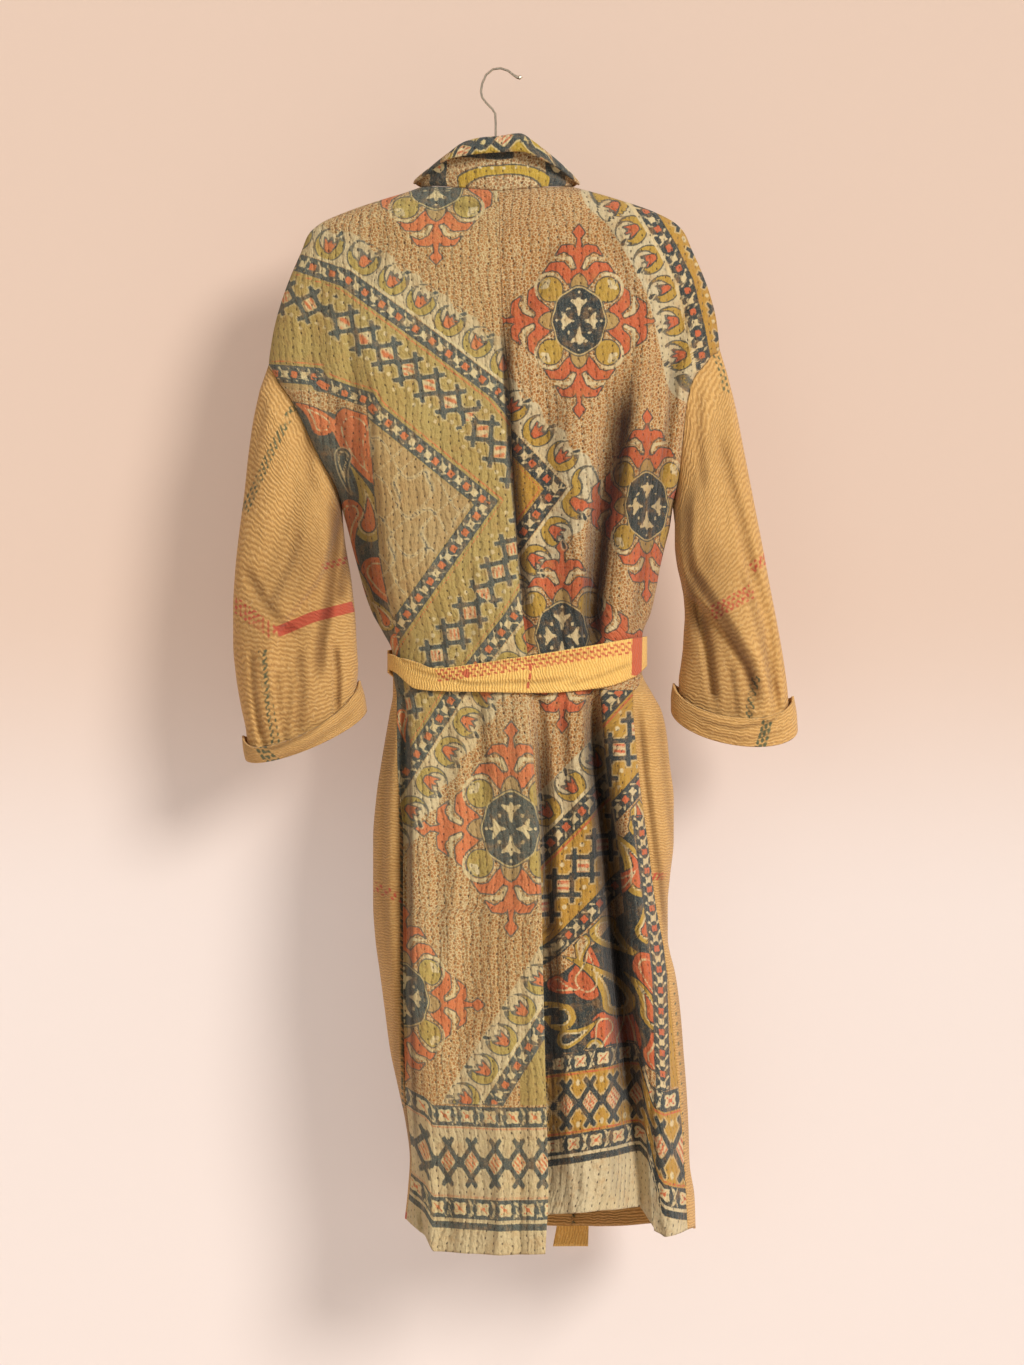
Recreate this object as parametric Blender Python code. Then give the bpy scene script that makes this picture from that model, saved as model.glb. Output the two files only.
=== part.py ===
"""Long quilted coat on a hanger: printed back halves, plain stitched fronts and sleeves, belt and cuffs.

Tables are laid out in units of 1.08 mm: x runs to the wearer's right, y runs down, and depth is in mm.
+Z is up, the coat's back faces +Y, its front -Y, and the wearer's left is +X.
The origin is inside the hook's top.
"""

import math

import bpy
import numpy as np

# Driving sizes
UNIT = 0.00108        # metres in one table unit
ZERO_X = 498.0        # table x of the hook's top
ZERO_Y = 65.0         # table y of the hook's top
WALL = 0.0024         # two stitched layers of old cotton
SEAM = 0.00016        # half of the gap that is left at a seam
STAND_GAP = 0.00035   # left between the collar's foot and the neck edge
MITRE = 1.35          # most that a wall grows at a folded seam
BELT_LIFT = 6.0       # mm from the cinched cloth to the belt's outer face
LAP = 9.0             # mm that the under front lies behind the upper one
WIRE = 0.00135        # hook wire radius
LAPEL_ROWS = 18       # rows of the front edge that carry the lapel

COLOURS = {
    "print_left": (0.52, 0.38, 0.22),
    "print_right": (0.50, 0.36, 0.18),
    "tan_cloth": (0.56, 0.36, 0.12),
    "collar_cloth": (0.45, 0.33, 0.10),
    "belt_cloth": (0.60, 0.40, 0.13),
    "wire": (0.80, 0.76, 0.66),
    "bar": (0.42, 0.30, 0.19),
}

# Rows of the body: y at the centre back
ROWS = [190, 200, 212, 226, 240, 255, 272, 292, 314, 338, 360,
        375, 390, 405, 420, 435, 450, 465, 480, 494, 508,
        526, 546, 568, 590, 612, 632, 651, 672, 693, 712,
        735, 765, 800, 840, 880, 905, 940, 980, 1020, 1060, 1100, 1140, 1175, 1210, 1240]
ARM_FIRST, ARM_LAST = 10, 20
VENT_ROW = 36
LAST_Y = 1240.0

# Outer edge of each half: row y, x, y, depth of the armhole seam
SIDE_LEFT = [
    (190, 421, 183, 0), (200, 406, 188.5, 0), (212, 381, 196, 0), (226, 347, 207.5, 0),
    (240, 319, 220, 0),
    (255, 307, 231, 0), (272, 299, 250, 0), (292, 287, 278, 0), (314, 278, 304, 0), (338, 271, 332, 0),
    (360, 267, 362, 0), (375, 272, 371, 9), (390, 280, 384, 15), (405, 290, 398, 20), (420, 299, 415, 24),
    (435, 307, 432, 26), (450, 315, 449, 26), (465, 323, 464, 24), (480, 331, 478, 20),
    (494, 337, 491, 12),
    (508, 341, 508, 0), (526, 346, 526, 0), (546, 351, 546, 0), (568, 357, 568, 0), (590, 363, 590, 0),
    (612, 371, 612, 0), (632, 382, 632, 0), (651, 391, 651, 0), (672, 392, 672, 0), (693, 392, 693, 0),
    (712, 389, 712, 0), (735, 385, 735, 0), (765, 380, 765, 0), (800, 375, 800, 0), (840, 372, 840, 0),
    (880, 372, 880, 0), (905, 372, 905, 0), (940, 374, 940, 0), (980, 379, 980, 0), (1020, 384, 1020, 0),
    (1060, 389, 1060, 0), (1100, 397, 1100, 0), (1140, 405, 1140, 0), (1175, 409, 1175, 0),
    (1210, 407, 1210, 0), (1240, 404, 1240, 0),
]
SIDE_RIGHT = [
    (190, 572, 183, 0), (200, 590, 187.5, 0), (212, 616, 195, 0), (226, 652, 207, 0), (240, 677, 220, 0),
    (255, 686, 230, 0), (272, 693, 246, 0), (292, 702, 266, 0), (314, 711, 290, 0), (338, 718, 318, 0),
    (360, 721, 346, 0), (375, 712, 355, 9), (390, 703, 366, 15), (405, 695, 376, 20), (420, 690, 390, 24),
    (435, 687, 406, 26), (450, 685, 424, 26), (465, 683, 444, 24), (480, 681, 464, 20),
    (494, 678, 485, 12),
    (508, 674, 506, 0), (526, 671, 526, 0), (546, 666, 546, 0), (568, 661, 568, 0), (590, 657, 590, 0),
    (612, 652, 612, 0), (632, 644, 632, 0), (651, 642, 651, 0), (672, 643, 672, 0), (693, 653, 693, 0),
    (712, 663, 712, 0), (735, 668, 735, 0), (765, 671, 765, 0), (800, 675, 800, 0), (840, 675, 840, 0),
    (880, 671, 880, 0), (905, 669, 905, 0), (940, 669, 940, 0), (980, 677, 980, 0), (1020, 682, 1020, 0),
    (1060, 685, 1060, 0), (1100, 688, 1100, 0), (1140, 690, 1140, 0), (1175, 691, 1175, 0),
    (1210, 696, 1210, 0), (1240, 697, 1240, 0),
]

# Back panels, x of each line: row y, centre back, lip, mid fold, ridge, valley, side seam
TRACKS_LEFT = [
    (190, 498, 495, 479, 459, 446, 421), (200, 499, 495, 470, 438, 422, 406),
    (212, 499, 495, 462, 422, 402, 381),
    (226, 499, 495, 452, 401, 377, 347), (240, 499, 495, 446, 386, 360, 319),
    (255, 500, 496, 443, 378, 350, 307),
    (272, 500, 496, 441, 371, 345, 299), (292, 501, 497, 440, 367, 343, 287),
    (314, 502, 498, 440, 366, 343, 278),
    (360, 506, 502, 443, 372, 350, 267), (405, 510, 506, 448, 377, 354, 290),
    (460, 512, 508, 452, 381, 357, 321),
    (508, 515, 511, 455, 384, 362, 341), (560, 518, 514, 457, 388, 369, 355),
    (600, 521, 517, 458, 395, 378, 367),
    (651, 527, 523, 462, 408, 401, 391), (693, 530, 526, 468, 412, 404, 396),
    (765, 534, 530, 471, 412, 404, 397),
    (840, 540, 536, 474, 412, 407, 404), (980, 543, 539, 477, 412, 407, 404),
    (1100, 546, 542, 479, 413, 408, 405),
    (1175, 548, 544, 482, 420, 414, 411), (1240, 545, 542, 484, 432, 424, 406),
]
# Row y, centre back, shadow, mid, panel edge, valley, ridge left, ridge top, side seam
TRACKS_RIGHT = [
    (190, 498, 502, 513, 526, 535, 544, 553, 572), (200, 499, 504, 520, 541, 554, 566, 576, 590),
    (212, 499, 505, 527, 553, 569, 583, 597, 616), (226, 499, 508, 535, 568, 587, 603, 620, 652),
    (240, 499, 509, 541, 578, 600, 617, 634, 677), (255, 500, 510, 546, 584, 606, 624, 642, 686),
    (272, 500, 511, 549, 590, 611, 630, 649, 693), (292, 501, 512, 551, 594, 615, 636, 655, 702),
    (314, 502, 513, 553, 598, 618, 638, 656, 711), (360, 506, 516, 556, 600, 618, 633, 648, 721),
    (405, 510, 520, 558, 598, 611, 624, 638, 695), (460, 512, 522, 558, 592, 604, 616, 632, 684),
    (508, 515, 525, 557, 588, 600, 612, 629, 674), (560, 518, 528, 557, 585, 596, 607, 625, 662),
    (600, 521, 531, 557, 582, 592, 603, 621, 655), (651, 527, 537, 559, 582, 592, 602, 617, 642),
    (693, 530, 541, 562, 584, 593, 602, 617, 633), (765, 534, 546, 567, 590, 598, 607, 622, 638),
    (844, 540, 552, 574, 597, 607, 618, 632, 648), (905, 542, 554, 577, 600, 613, 624, 640, 656),
    (960, 543, 556, 579, 602, 616, 629, 646, 666), (1040, 545, 558, 582, 606, 623, 638, 654, 674),
    (1130, 547, 561, 587, 612, 632, 646, 664, 682), (1240, 546, 562, 591, 618, 638, 655, 674, 688),
]
SPLIT_LEFT = [1, 3, 3, 2, 3]
SPLIT_RIGHT = [1, 2, 2, 2, 2, 1, 3]
FRONT_STEPS = 11

# Front edges above and below the belt: row y, x of the left front, x of the right front
FRONT_EDGE = [
    (190, 430, 563), (200, 431, 562), (212, 431, 562), (226, 432, 561), (255, 434, 559), (314, 443, 553),
    (360, 455, 544), (405, 472, 530), (450, 488, 516), (494, 503, 503), (546, 521, 487), (590, 536, 475),
    (632, 549, 465), (672, 556, 460), (735, 562, 456), (980, 570, 450), (1240, 574, 446),
]

# Half depths in mm at the centre: row y, back, front, roundness (0.5 is an ellipse)
DEPTH = [
    (190, 38, 22, 0.52), (200, 40, 26, 0.52), (226, 44, 34, 0.54), (255, 49, 42, 0.56),
    (292, 55, 48, 0.58),
    (338, 61, 54, 0.58), (405, 67, 60, 0.56), (460, 70, 62, 0.54), (508, 72, 63, 0.50),
    (568, 70, 62, 0.50),
    (612, 66, 60, 0.50), (651, 62, 58, 0.50), (693, 62, 58, 0.50), (735, 68, 64, 0.50),
    (840, 82, 76, 0.50),
    (980, 96, 88, 0.50), (1100, 104, 95, 0.50), (1240, 110, 100, 0.50),
]

# Soft folds of the back, one row a place: y, x, reach to the left, reach to the right, height in mm
FOLDS_BACK = {
    "left ridge": [
        (280, 367, 30, 50, 0), (340, 370, 16, 50, 3), (405, 377, 12, 55, 7), (508, 384, 13, 60, 9),
        (600, 395, 12, 60, 9), (632, 402, 10, 60, 4), (651, 406, 9, 60, 3), (693, 412, 7, 60, 6),
        (765, 412, 6, 60, 13),
        (900, 412, 6, 60, 14), (1100, 413, 7, 60, 11), (1175, 420, 8, 55, 9), (1240, 432, 8, 50, 9)],
    "left valley": [
        (300, 345, 14, 10, 0), (360, 350, 14, 10, -5), (460, 356, 12, 12, -9), (560, 369, 10, 10, -9),
        (600, 379, 8, 8, -6), (651, 401, 8, 7, -1), (693, 404, 7, 6, -9), (800, 406, 8, 6, -12),
        (1000, 407, 8, 6, -10),
        (1100, 407, 8, 6, -8), (1175, 414, 8, 6, -7), (1240, 424, 8, 6, -6)],
    "left tan roll": [
        (693, 396, 4, 5, 0), (765, 391, 9, 9, 4), (900, 388, 11, 12, 6), (1060, 396, 8, 8, 5),
        (1140, 404, 6, 6, 0)],
    "left mid fold": [
        (640, 470, 20, 25, 0), (720, 476, 16, 22, -4), (900, 470, 20, 25, -5), (1100, 455, 22, 26, -5),
        (1240, 450, 20, 26, -7)],
    "left second mid": [
        (700, 510, 15, 15, 0), (860, 508, 16, 18, 3), (1240, 500, 22, 22, 5)],
    "centre lip": [
        (600, 520, 30, 5, 0), (693, 525, 40, 5, 5), (765, 530, 45, 5, 9), (900, 538, 45, 5, 12),
        (1240, 543, 45, 5, 10)],
    "centre seam": [
        (200, 499, 8, 8, -1), (508, 515, 9, 9, -3), (640, 526, 9, 9, -3), (700, 530, 3, 3, 0)],
    "centre shadow": [
        (640, 530, 4, 10, 0), (693, 536, 6, 12, -9), (765, 541, 6, 14, -13), (905, 547, 6, 14, -14),
        (1100, 552, 8, 18, -14), (1240, 552, 10, 24, -13)],
    "right panel edge": [
        (420, 598, 20, 8, 0), (508, 586, 25, 8, 5), (600, 580, 25, 8, 7), (632, 580, 22, 8, 3),
        (651, 580, 20, 8, 2), (693, 580, 28, 8, 4),
        (800, 590, 30, 7, 7), (960, 600, 32, 8, 7), (1100, 606, 30, 10, 4), (1240, 612, 30, 14, 0)],
    "right deep valley": [
        (400, 608, 16, 14, 0), (460, 604, 14, 12, -6), (560, 596, 13, 12, -13), (620, 592, 12, 12, -15),
        (651, 592, 11, 11, -9), (693, 593, 12, 11, -24), (765, 598, 14, 13, -38), (844, 608, 16, 14, -46),
        (960, 617, 18, 16, -47), (1040, 624, 22, 17, -42), (1130, 632, 26, 16, -36),
        (1240, 640, 32, 16, -30)],
    "right ridge": [
        (290, 656, 16, 20, 0), (360, 646, 16, 26, 7), (430, 633, 14, 30, 9), (560, 625, 14, 30, 9),
        (600, 621, 12, 26, 7), (632, 618, 10, 24, 3), (651, 617, 10, 20, 2), (693, 617, 12, 18, 3),
        (800, 626, 14, 20, 14),
        (960, 646, 16, 22, 16), (1100, 660, 18, 24, 16), (1240, 674, 18, 22, 14)],
    "right arm valley": [
        (300, 686, 14, 12, 0), (350, 680, 12, 10, -8), (430, 674, 10, 8, -10), (500, 664, 8, 8, -7),
        (560, 652, 8, 8, 0)],
    "right tan dip": [
        (672, 636, 6, 6, 0), (735, 640, 8, 8, -6), (844, 650, 8, 8, -7), (940, 662, 6, 5, -4),
        (1000, 670, 5, 5, 0)],
    "shoulder left": [(240, 330, 30, 30, 0), (290, 320, 26, 26, -4), (360, 312, 22, 26, -5), (440, 335, 20, 20, 0)],
    "yoke right": [(240, 560, 30, 30, 0), (320, 575, 26, 30, -3), (420, 570, 26, 30, 2), (640, 556, 20, 20, 0)],
}
FOLDS_FRONT = {
    "left drape": [
        (420, 400, 20, 30, 0), (520, 410, 22, 30, -6), (651, 440, 16, 20, -3), (760, 440, 26, 30, -9),
        (1000, 430, 30, 34, -14), (1240, 426, 32, 36, -16)],
    "right drape": [
        (420, 610, 26, 20, 0), (520, 606, 28, 22, -5), (651, 590, 18, 16, -3), (760, 596, 28, 26, -10),
        (1000, 616, 32, 30, -15), (1240, 626, 34, 32, -15)],
    "centre drape": [
        (693, 520, 24, 24, 0), (840, 522, 28, 26, 6), (1240, 530, 34, 34, 8)],
}

# Hem height along each piece: x, y
HEM_BACK_LEFT = [(400, 1222), (406, 1222), (425, 1235), (433, 1249), (500, 1250), (545, 1248)]
HEM_BACK_RIGHT = [(500, 1212), (546, 1211), (603, 1206), (640, 1206), (655, 1228), (664, 1235), (690, 1230)]
HEM_FRONT = [(370, 1222), (410, 1222), (450, 1236), (600, 1238), (690, 1230), (700, 1234)]

# Sleeves: outer x, y, inner x, y, half depth, sag of the back, sag of the front
SLEEVE_LEFT = [
    (258, 387, 342, 524, 31, 4, 2), (251, 420, 344, 542, 33, 3, 2), (246, 456, 347, 560, 34, 2, 2),
    (242, 494, 350, 578, 35, 2, 2), (237, 532, 352, 596, 36, 3, 2), (233, 570, 354, 614, 37, 4, 3),
    (231, 607, 355, 632, 38, 6, 4), (231, 642, 356, 650, 38, 8, 5), (234, 676, 357, 667, 37, 12, 7),
    (239, 706, 356, 683, 35, 16, 9), (244, 730, 356, 695, 33, 18, 10),
    (246, 755, 363, 707.5, 33.2, 17, 9),
]
SLEEVE_RIGHT = [
    (729, 372, 676, 523, 31, 3, 2), (737, 404, 676, 543, 33, 2, 2), (744, 440, 678, 563, 34, 2, 2),
    (751, 476, 682, 581, 35, 2, 2), (758, 512, 685, 598, 36, 3, 2), (765, 548, 686, 615, 37, 4, 3),
    (772, 586, 685, 632, 38, 6, 4), (779, 622, 684, 649, 38, 8, 5), (785, 656, 682, 665, 37, 12, 7),
    (789, 684, 680, 680, 35, 16, 9), (791, 704, 680, 692, 33, 18, 10), (797, 726, 675, 708, 33.2, 25, 10),
]
# Cuffs: outer x, y, inner x, y, half depth, sag of the back, sag of the front
CUFF_LEFT = [
    (243, 758, 366, 710, 36, 17, 9), (241, 748, 364, 697, 39, 22, 9),
    (240, 736, 359, 680, 41, 28, 8),
]
CUFF_RIGHT = [
    (800, 729, 672, 710, 36, 26, 10), (799, 714, 672, 698, 39, 26, 9),
    (796, 696, 674, 683, 41, 28, 8),
]
FOLDS_SLEEVE_LEFT = {
    "fold over": [
        (440, 338, 40, 8, 0), (494, 337, 50, 9, 6), (542, 327, 55, 8, 11), (574, 317, 60, 8, 13),
        (633, 275, 60, 9, 11), (680, 262, 40, 22, 6), (712, 259, 30, 24, 3), (735, 258, 26, 24, 0)],
    "lower bulge": [(560, 330, 20, 20, 0), (640, 316, 30, 26, 4), (696, 305, 30, 26, 4), (728, 300, 26, 26, 0)],
    "crease": [(630, 332, 6, 8, 0), (660, 333, 4, 7, -5), (700, 334, 4, 7, -6), (730, 334, 5, 7, -3)],
    "upper dip": [(360, 292, 20, 20, 0), (440, 300, 18, 22, -4), (540, 280, 22, 22, -3), (600, 262, 18, 18, 0)],
}
FOLDS_SLEEVE_RIGHT = {
    "fold over": [
        (480, 676, 8, 40, 0), (521, 677, 7, 50, 6), (558, 679, 8, 55, 10), (590, 691, 9, 60, 13),
        (610, 712, 9, 55, 14), (640, 734, 9, 40, 13), (680, 756, 9, 26, 7), (700, 762, 9, 20, 3),
        (720, 768, 9, 18, 1)],
    "outer valley": [(480, 735, 14, 14, 0), (560, 748, 9, 13, -6), (620, 766, 8, 12, -9), (690, 775, 7, 9, -7), (712, 778, 7, 9, -3)],
    "crease": [(585, 697, 6, 8, 0), (610, 699, 5, 8, -7), (650, 705, 5, 8, -8), (695, 712, 5, 8, -5)],
    "upper dip": [(350, 716, 14, 16, 0), (430, 722, 18, 16, -4), (520, 728, 18, 18, -3), (570, 740, 14, 14, 0)],
}
ROUND_BACK = 10       # steps down the back half of an armhole

# Collar at the back neck: x, top of the roll, lower edge of the fall, reach of the fall in mm
COLLAR = [
    (421, 178, 181, 7), (435, 168, 172, 9), (452, 154, 160, 11), (467, 143, 156, 13), (484, 139, 154, 14),
    (498, 138, 153, 14), (519, 135, 152, 14), (530, 142, 156, 14), (549, 158, 167, 12),
    (561, 169, 175, 9),
    (572, 179, 182, 7),
]
# Lapel on the fronts: row y, width in mm
LAPEL = [(200, 11), (226, 24), (255, 38), (314, 50), (360, 48), (405, 38), (450, 24), (480, 10)]

# Belt round the waist: x, upper edge y, lower edge y
BELT_BACK = [
    (380, 651, 667), (392, 655, 671), (416, 663, 689), (435, 668, 691), (481, 663, 692), (540, 654, 693),
    (600, 644, 688), (635, 638, 677), (650, 636, 664),
]
BELT_FRONT = [(380, 651, 667), (400, 648, 682), (450, 642, 688), (590, 640, 688), (630, 637, 680), (650, 636, 664)]
BELT_STEPS = 44
# Hanging ends: y, left x, right x, depth in mm in front of the front
TAIL_LONG = [
    (675.9, 549, 566, 13.4), (692, 546, 571, 14), (712, 545, 575, 11), (760, 545, 581, 9),
    (900, 549, 588, 9), (1060, 553, 592, 9),
    (1170, 556, 593, 9), (1226, 559, 591, 9), (1260, 554, 590, 9),
]
TAIL_SHORT = [
    (675.9, 536, 553, 10.2), (692, 524, 550, 10.6), (712, 516, 548, 7.6), (760, 508, 545, 6),
    (860, 502, 540, 7), (960, 500, 538, 7),
]
KNOT = (551.0, 664.0)  # x and y of the knot's middle

# Hanger: wire points x, y
HOOK = [
    (521.8, 71.6), (519.6, 73.1), (517, 72.6), (513, 70), (508, 66), (500.5, 63.5), (493, 64.5),
    (486, 70), (482, 79), (480.7, 87),
    (482, 93), (486, 98.5), (492, 104.5), (495, 109), (495.6, 120), (495.6, 150), (495.6, 179.6),
]
ARM_LEFT = [(496, 186), (460, 188.2), (440, 189.6), (421, 193), (401, 199), (369, 209.7), (341, 220), (322, 230.5)]
ARM_RIGHT = [(496, 186), (535, 188.2), (553, 189.6), (572, 193), (601, 199.3), (630, 210.3), (656, 221), (672, 230)]


def at(table, y, column):
    """Smooth value of one column of a table at y."""
    rows = np.array([(row[0], row[column]) for row in table], float)
    xs, vs = rows[:, 0], rows[:, 1]
    steps = np.diff(vs) / np.diff(xs)
    slopes = np.zeros(len(vs))
    inner = steps[:-1] * steps[1:] > 0
    slopes[1:-1][inner] = 2 * steps[:-1][inner] * steps[1:][inner] / (steps[:-1] + steps[1:])[inner]
    slopes[0], slopes[-1] = steps[0], steps[-1]
    y = np.clip(np.asarray(y, float), xs[0], xs[-1])
    k = np.clip(np.searchsorted(xs, y, side="right") - 1, 0, len(xs) - 2)
    gap = xs[k + 1] - xs[k]
    t = (y - xs[k]) / gap
    first = (1 + 2 * t) * (1 - t) ** 2 * vs[k] + t * (1 - t) ** 2 * gap * slopes[k]
    return first + t * t * (3 - 2 * t) * vs[k + 1] + t * t * (t - 1) * gap * slopes[k + 1]


def folds(table, x, y):
    """Sum of the soft folds of a table, in mm."""
    total = np.zeros(np.broadcast(x, y).shape)
    for rows in table.values():
        off = x - at(rows, y, 1)
        reach = np.where(off < 0, at(rows, y, 2), at(rows, y, 3))
        part = np.clip(np.abs(off) / reach, 0, 1)
        live = (y >= rows[0][0]) & (y <= rows[-1][0])
        total = total + live * at(rows, y, 4) * 0.5 * (1 + np.cos(math.pi * part))
    return total


def cinch(y):
    """How much of a fold is left near the belt."""
    return 1 - 0.85 * np.exp(-(((y - 667) / 34.0) ** 2))


def depth(x, row, half, face):
    """Depth in mm of the body at x in the row whose centre y is row. face 1 is the back, -1 the front."""
    side = SIDE_LEFT if half < 0 else SIDE_RIGHT
    centre = at(TRACKS_LEFT, row, 1)
    edge = at(side, row, 1)
    t = np.clip(np.abs((x - centre) / (edge - centre)), 0, 1)
    rim = at(side, row, 3)
    full = at(DEPTH, row, 1 if face > 0 else 2)
    round_off = at(DEPTH, row, 3)
    base = rim + (full - rim) * (1 - t ** 2.2) ** round_off
    fade = np.clip((1 - t) / 0.12, 0, 1)
    fade = fade * fade * (3 - 2 * fade)
    extra = folds(FOLDS_BACK if face > 0 else FOLDS_FRONT, x, row) * fade * cinch(row)
    return face * (base + extra)


def space(x, y, deep):
    """Table units and mm to metres."""
    x, y, deep = np.broadcast_arrays(x, y, deep)
    return np.stack([(ZERO_X - x) * UNIT, deep * 0.001, (ZERO_Y - y) * UNIT], axis=-1)


def height(x, row, half, hem):
    """Table y of a point: rows tilt to the shoulder above and follow the hem below."""
    side = SIDE_LEFT if half < 0 else SIDE_RIGHT
    centre = at(TRACKS_LEFT, row, 1)
    t = np.clip(np.abs((x - centre) / (at(side, row, 1) - centre)), 0, 1)
    y = row + (at(side, row, 2) - row) * t
    hems = np.array(hem, float)
    low = np.clip((row - 905.0) / (LAST_Y - 905.0), 0, 1)
    return y + low * (np.interp(x, hems[:, 0], hems[:, 1]) - LAST_Y)


def split(tracks, row, parts):
    """x of every column of a row, from the lines of a back panel."""
    lines = [float(at(tracks, row, k + 1)) for k in range(len(parts) + 1)]
    out = [lines[0]]
    for k, count in enumerate(parts):
        for step in range(1, count + 1):
            s = step / count
            if k == len(parts) - 1 and row < 700:
                s = math.sin(s * math.pi / 2)
            out.append(lines[k] + (lines[k + 1] - lines[k]) * s)
    return out


def back_panel(half):
    tracks, parts, hem = (
        (TRACKS_LEFT, SPLIT_LEFT, HEM_BACK_LEFT) if half < 0 else (TRACKS_RIGHT, SPLIT_RIGHT, HEM_BACK_RIGHT)
    )
    grid = []
    for index, row in enumerate(ROWS):
        xs = np.array(split(tracks, row, parts))
        xs[0] = at(TRACKS_LEFT, row, 1)
        if row < 693:
            xs[-1] = at(SIDE_LEFT if half < 0 else SIDE_RIGHT, row, 1)
        row_y = np.full(len(xs), float(row))
        deep = depth(xs, row_y, half, 1)
        if index > VENT_ROW and half < 0:
            deep[0] = deep[1] - 1
        if index > VENT_ROW + 1 and half > 0:
            xs[0] -= 26
            deep[0] -= 5
        line = space(xs, height(xs, row_y, half, hem), deep)
        grid.append(line)
    return np.array(grid)


def seam_angle(x, row, half):
    side = SIDE_LEFT if half < 0 else SIDE_RIGHT
    centre = float(at(TRACKS_LEFT, row, 1))
    return math.asin(min(1.0, abs((x - centre) / (float(at(side, row, 1)) - centre))))


def front_panel(half):
    """From the side seam round the edge to the front opening."""
    side = SIDE_LEFT if half < 0 else SIDE_RIGHT
    tracks, seam = (TRACKS_LEFT, 6) if half < 0 else (TRACKS_RIGHT, 8)
    grid = []
    for row in ROWS:
        centre = float(at(TRACKS_LEFT, row, 1))
        wide = abs(float(at(side, row, 1)) - centre)
        start = math.pi / 2
        if row >= 693:
            start = seam_angle(float(at(tracks, row, seam)), row, half)
        opening = float(at(FRONT_EDGE, row, 1 if half < 0 else 2))
        reach = (opening - centre) * half / wide
        stop = math.pi - math.asin(max(-1.0, min(1.0, reach)))
        line = []
        for step in range(FRONT_STEPS + 1):
            angle = start + (stop - start) * step / FRONT_STEPS
            x = centre + half * wide * math.sin(angle)
            face = 1 if angle < math.pi / 2 - 1e-9 else -1
            where = half if (x - centre) * half >= 0 else -half
            deep = float(depth(np.array(x), np.array(float(row)), where, face))
            if half < 0 and face < 0:
                under = max(0.0, min(1.0, (x - centre + 125) / 33.0))
                under *= max(0.0, min(1.0, (row - 400) / 90.0))
                deep += LAP * under * under * (3 - 2 * under)
            hem = HEM_FRONT
            if face > 0:
                hem = HEM_BACK_LEFT if half < 0 else HEM_BACK_RIGHT
            y = float(height(np.array(x), np.array(float(row)), where, hem))
            line.append(space(x, y, deep))
        grid.append(line)
    return np.array(grid)


def sleeve(half):
    """Closed tube: from the armhole's top down its back to the underarm and up its front."""
    side, rings, table = (
        (SIDE_LEFT, SLEEVE_LEFT, FOLDS_SLEEVE_LEFT) if half < 0
        else (SIDE_RIGHT, SLEEVE_RIGHT, FOLDS_SLEEVE_RIGHT)
    )
    steps = ROUND_BACK
    hole = [side[ARM_FIRST + k] for k in range(steps + 1)]
    first = [space(row[1], row[2], row[3]) for row in hole]
    first += [space(row[1], row[2], -row[3]) for row in hole[-2:0:-1]]
    grid = [first]
    for ring in rings:
        grid.append(ring_points(ring, table, steps))
    return np.array(grid)


def ring_points(ring, table, steps):
    x0, y0, x1, y1, deep, sag_back, sag_front = ring
    line = []
    for step in range(2 * steps):
        turn = math.pi * step / steps
        s = (1 - math.cos(turn)) / 2
        bend = math.sin(turn)
        sag = sag_back if bend > 0 else sag_front
        x = x0 + (x1 - x0) * s
        y = y0 + (y1 - y0) * s + sag * abs(bend)
        push = math.copysign(abs(bend) ** 0.85, bend) * deep
        if table and bend > 0:
            push += float(folds(table, np.array(x), np.array(y))) * min(1.0, bend * 2)
        line.append(space(x, y, push))
    return line


def collar(back_left, back_right, front_left, front_right):
    """One strip from the left lapel's point, round the neck, to the right one."""
    grid = []
    for k in range(LAPEL_ROWS - 1, 0, -1):
        grid.append(lapel_section(front_left[k, -1], k, -1))
    for k in range(FRONT_STEPS, 0, -1):
        grid.append(corner_section(front_left[0, k], k / FRONT_STEPS, -1))
    neck = [(p, -1) for p in back_left[0, ::-1]] + [(p, 1) for p in back_right[0, 1:]]
    for point, half in neck:
        grid.append(neck_section(point, half))
    for k in range(1, FRONT_STEPS + 1):
        grid.append(corner_section(front_right[0, k], k / FRONT_STEPS, 1))
    for k in range(1, LAPEL_ROWS):
        grid.append(lapel_section(front_right[k, -1], k, 1))
    return np.array(grid)


def corner_section(point, s, half):
    """Between the shoulder's neck point and the front edge: the strip turns from standing to lying."""
    turn = (0.15 + 0.65 * s) * math.pi / 2
    out = np.array([-half, 0.0, 0.0])
    up = np.array([0.0, -math.sin(turn), math.cos(turn)])
    top = 0.0040 + 0.0012 * (1 - s)
    reach = 0.0065 + 0.003 * s
    shape = [(0.0, 0.0), (0.0003, 0.3 * top), (0.0004, 0.6 * top), (0.0004, 0.85 * top), (0.0016, top),
             (0.0036, top + 0.0004), (0.5 * (0.0036 + reach), top - 0.0003), (reach, top - 0.0012)]
    return [point + out * a + up * (b + STAND_GAP) for a, b in shape]


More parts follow.
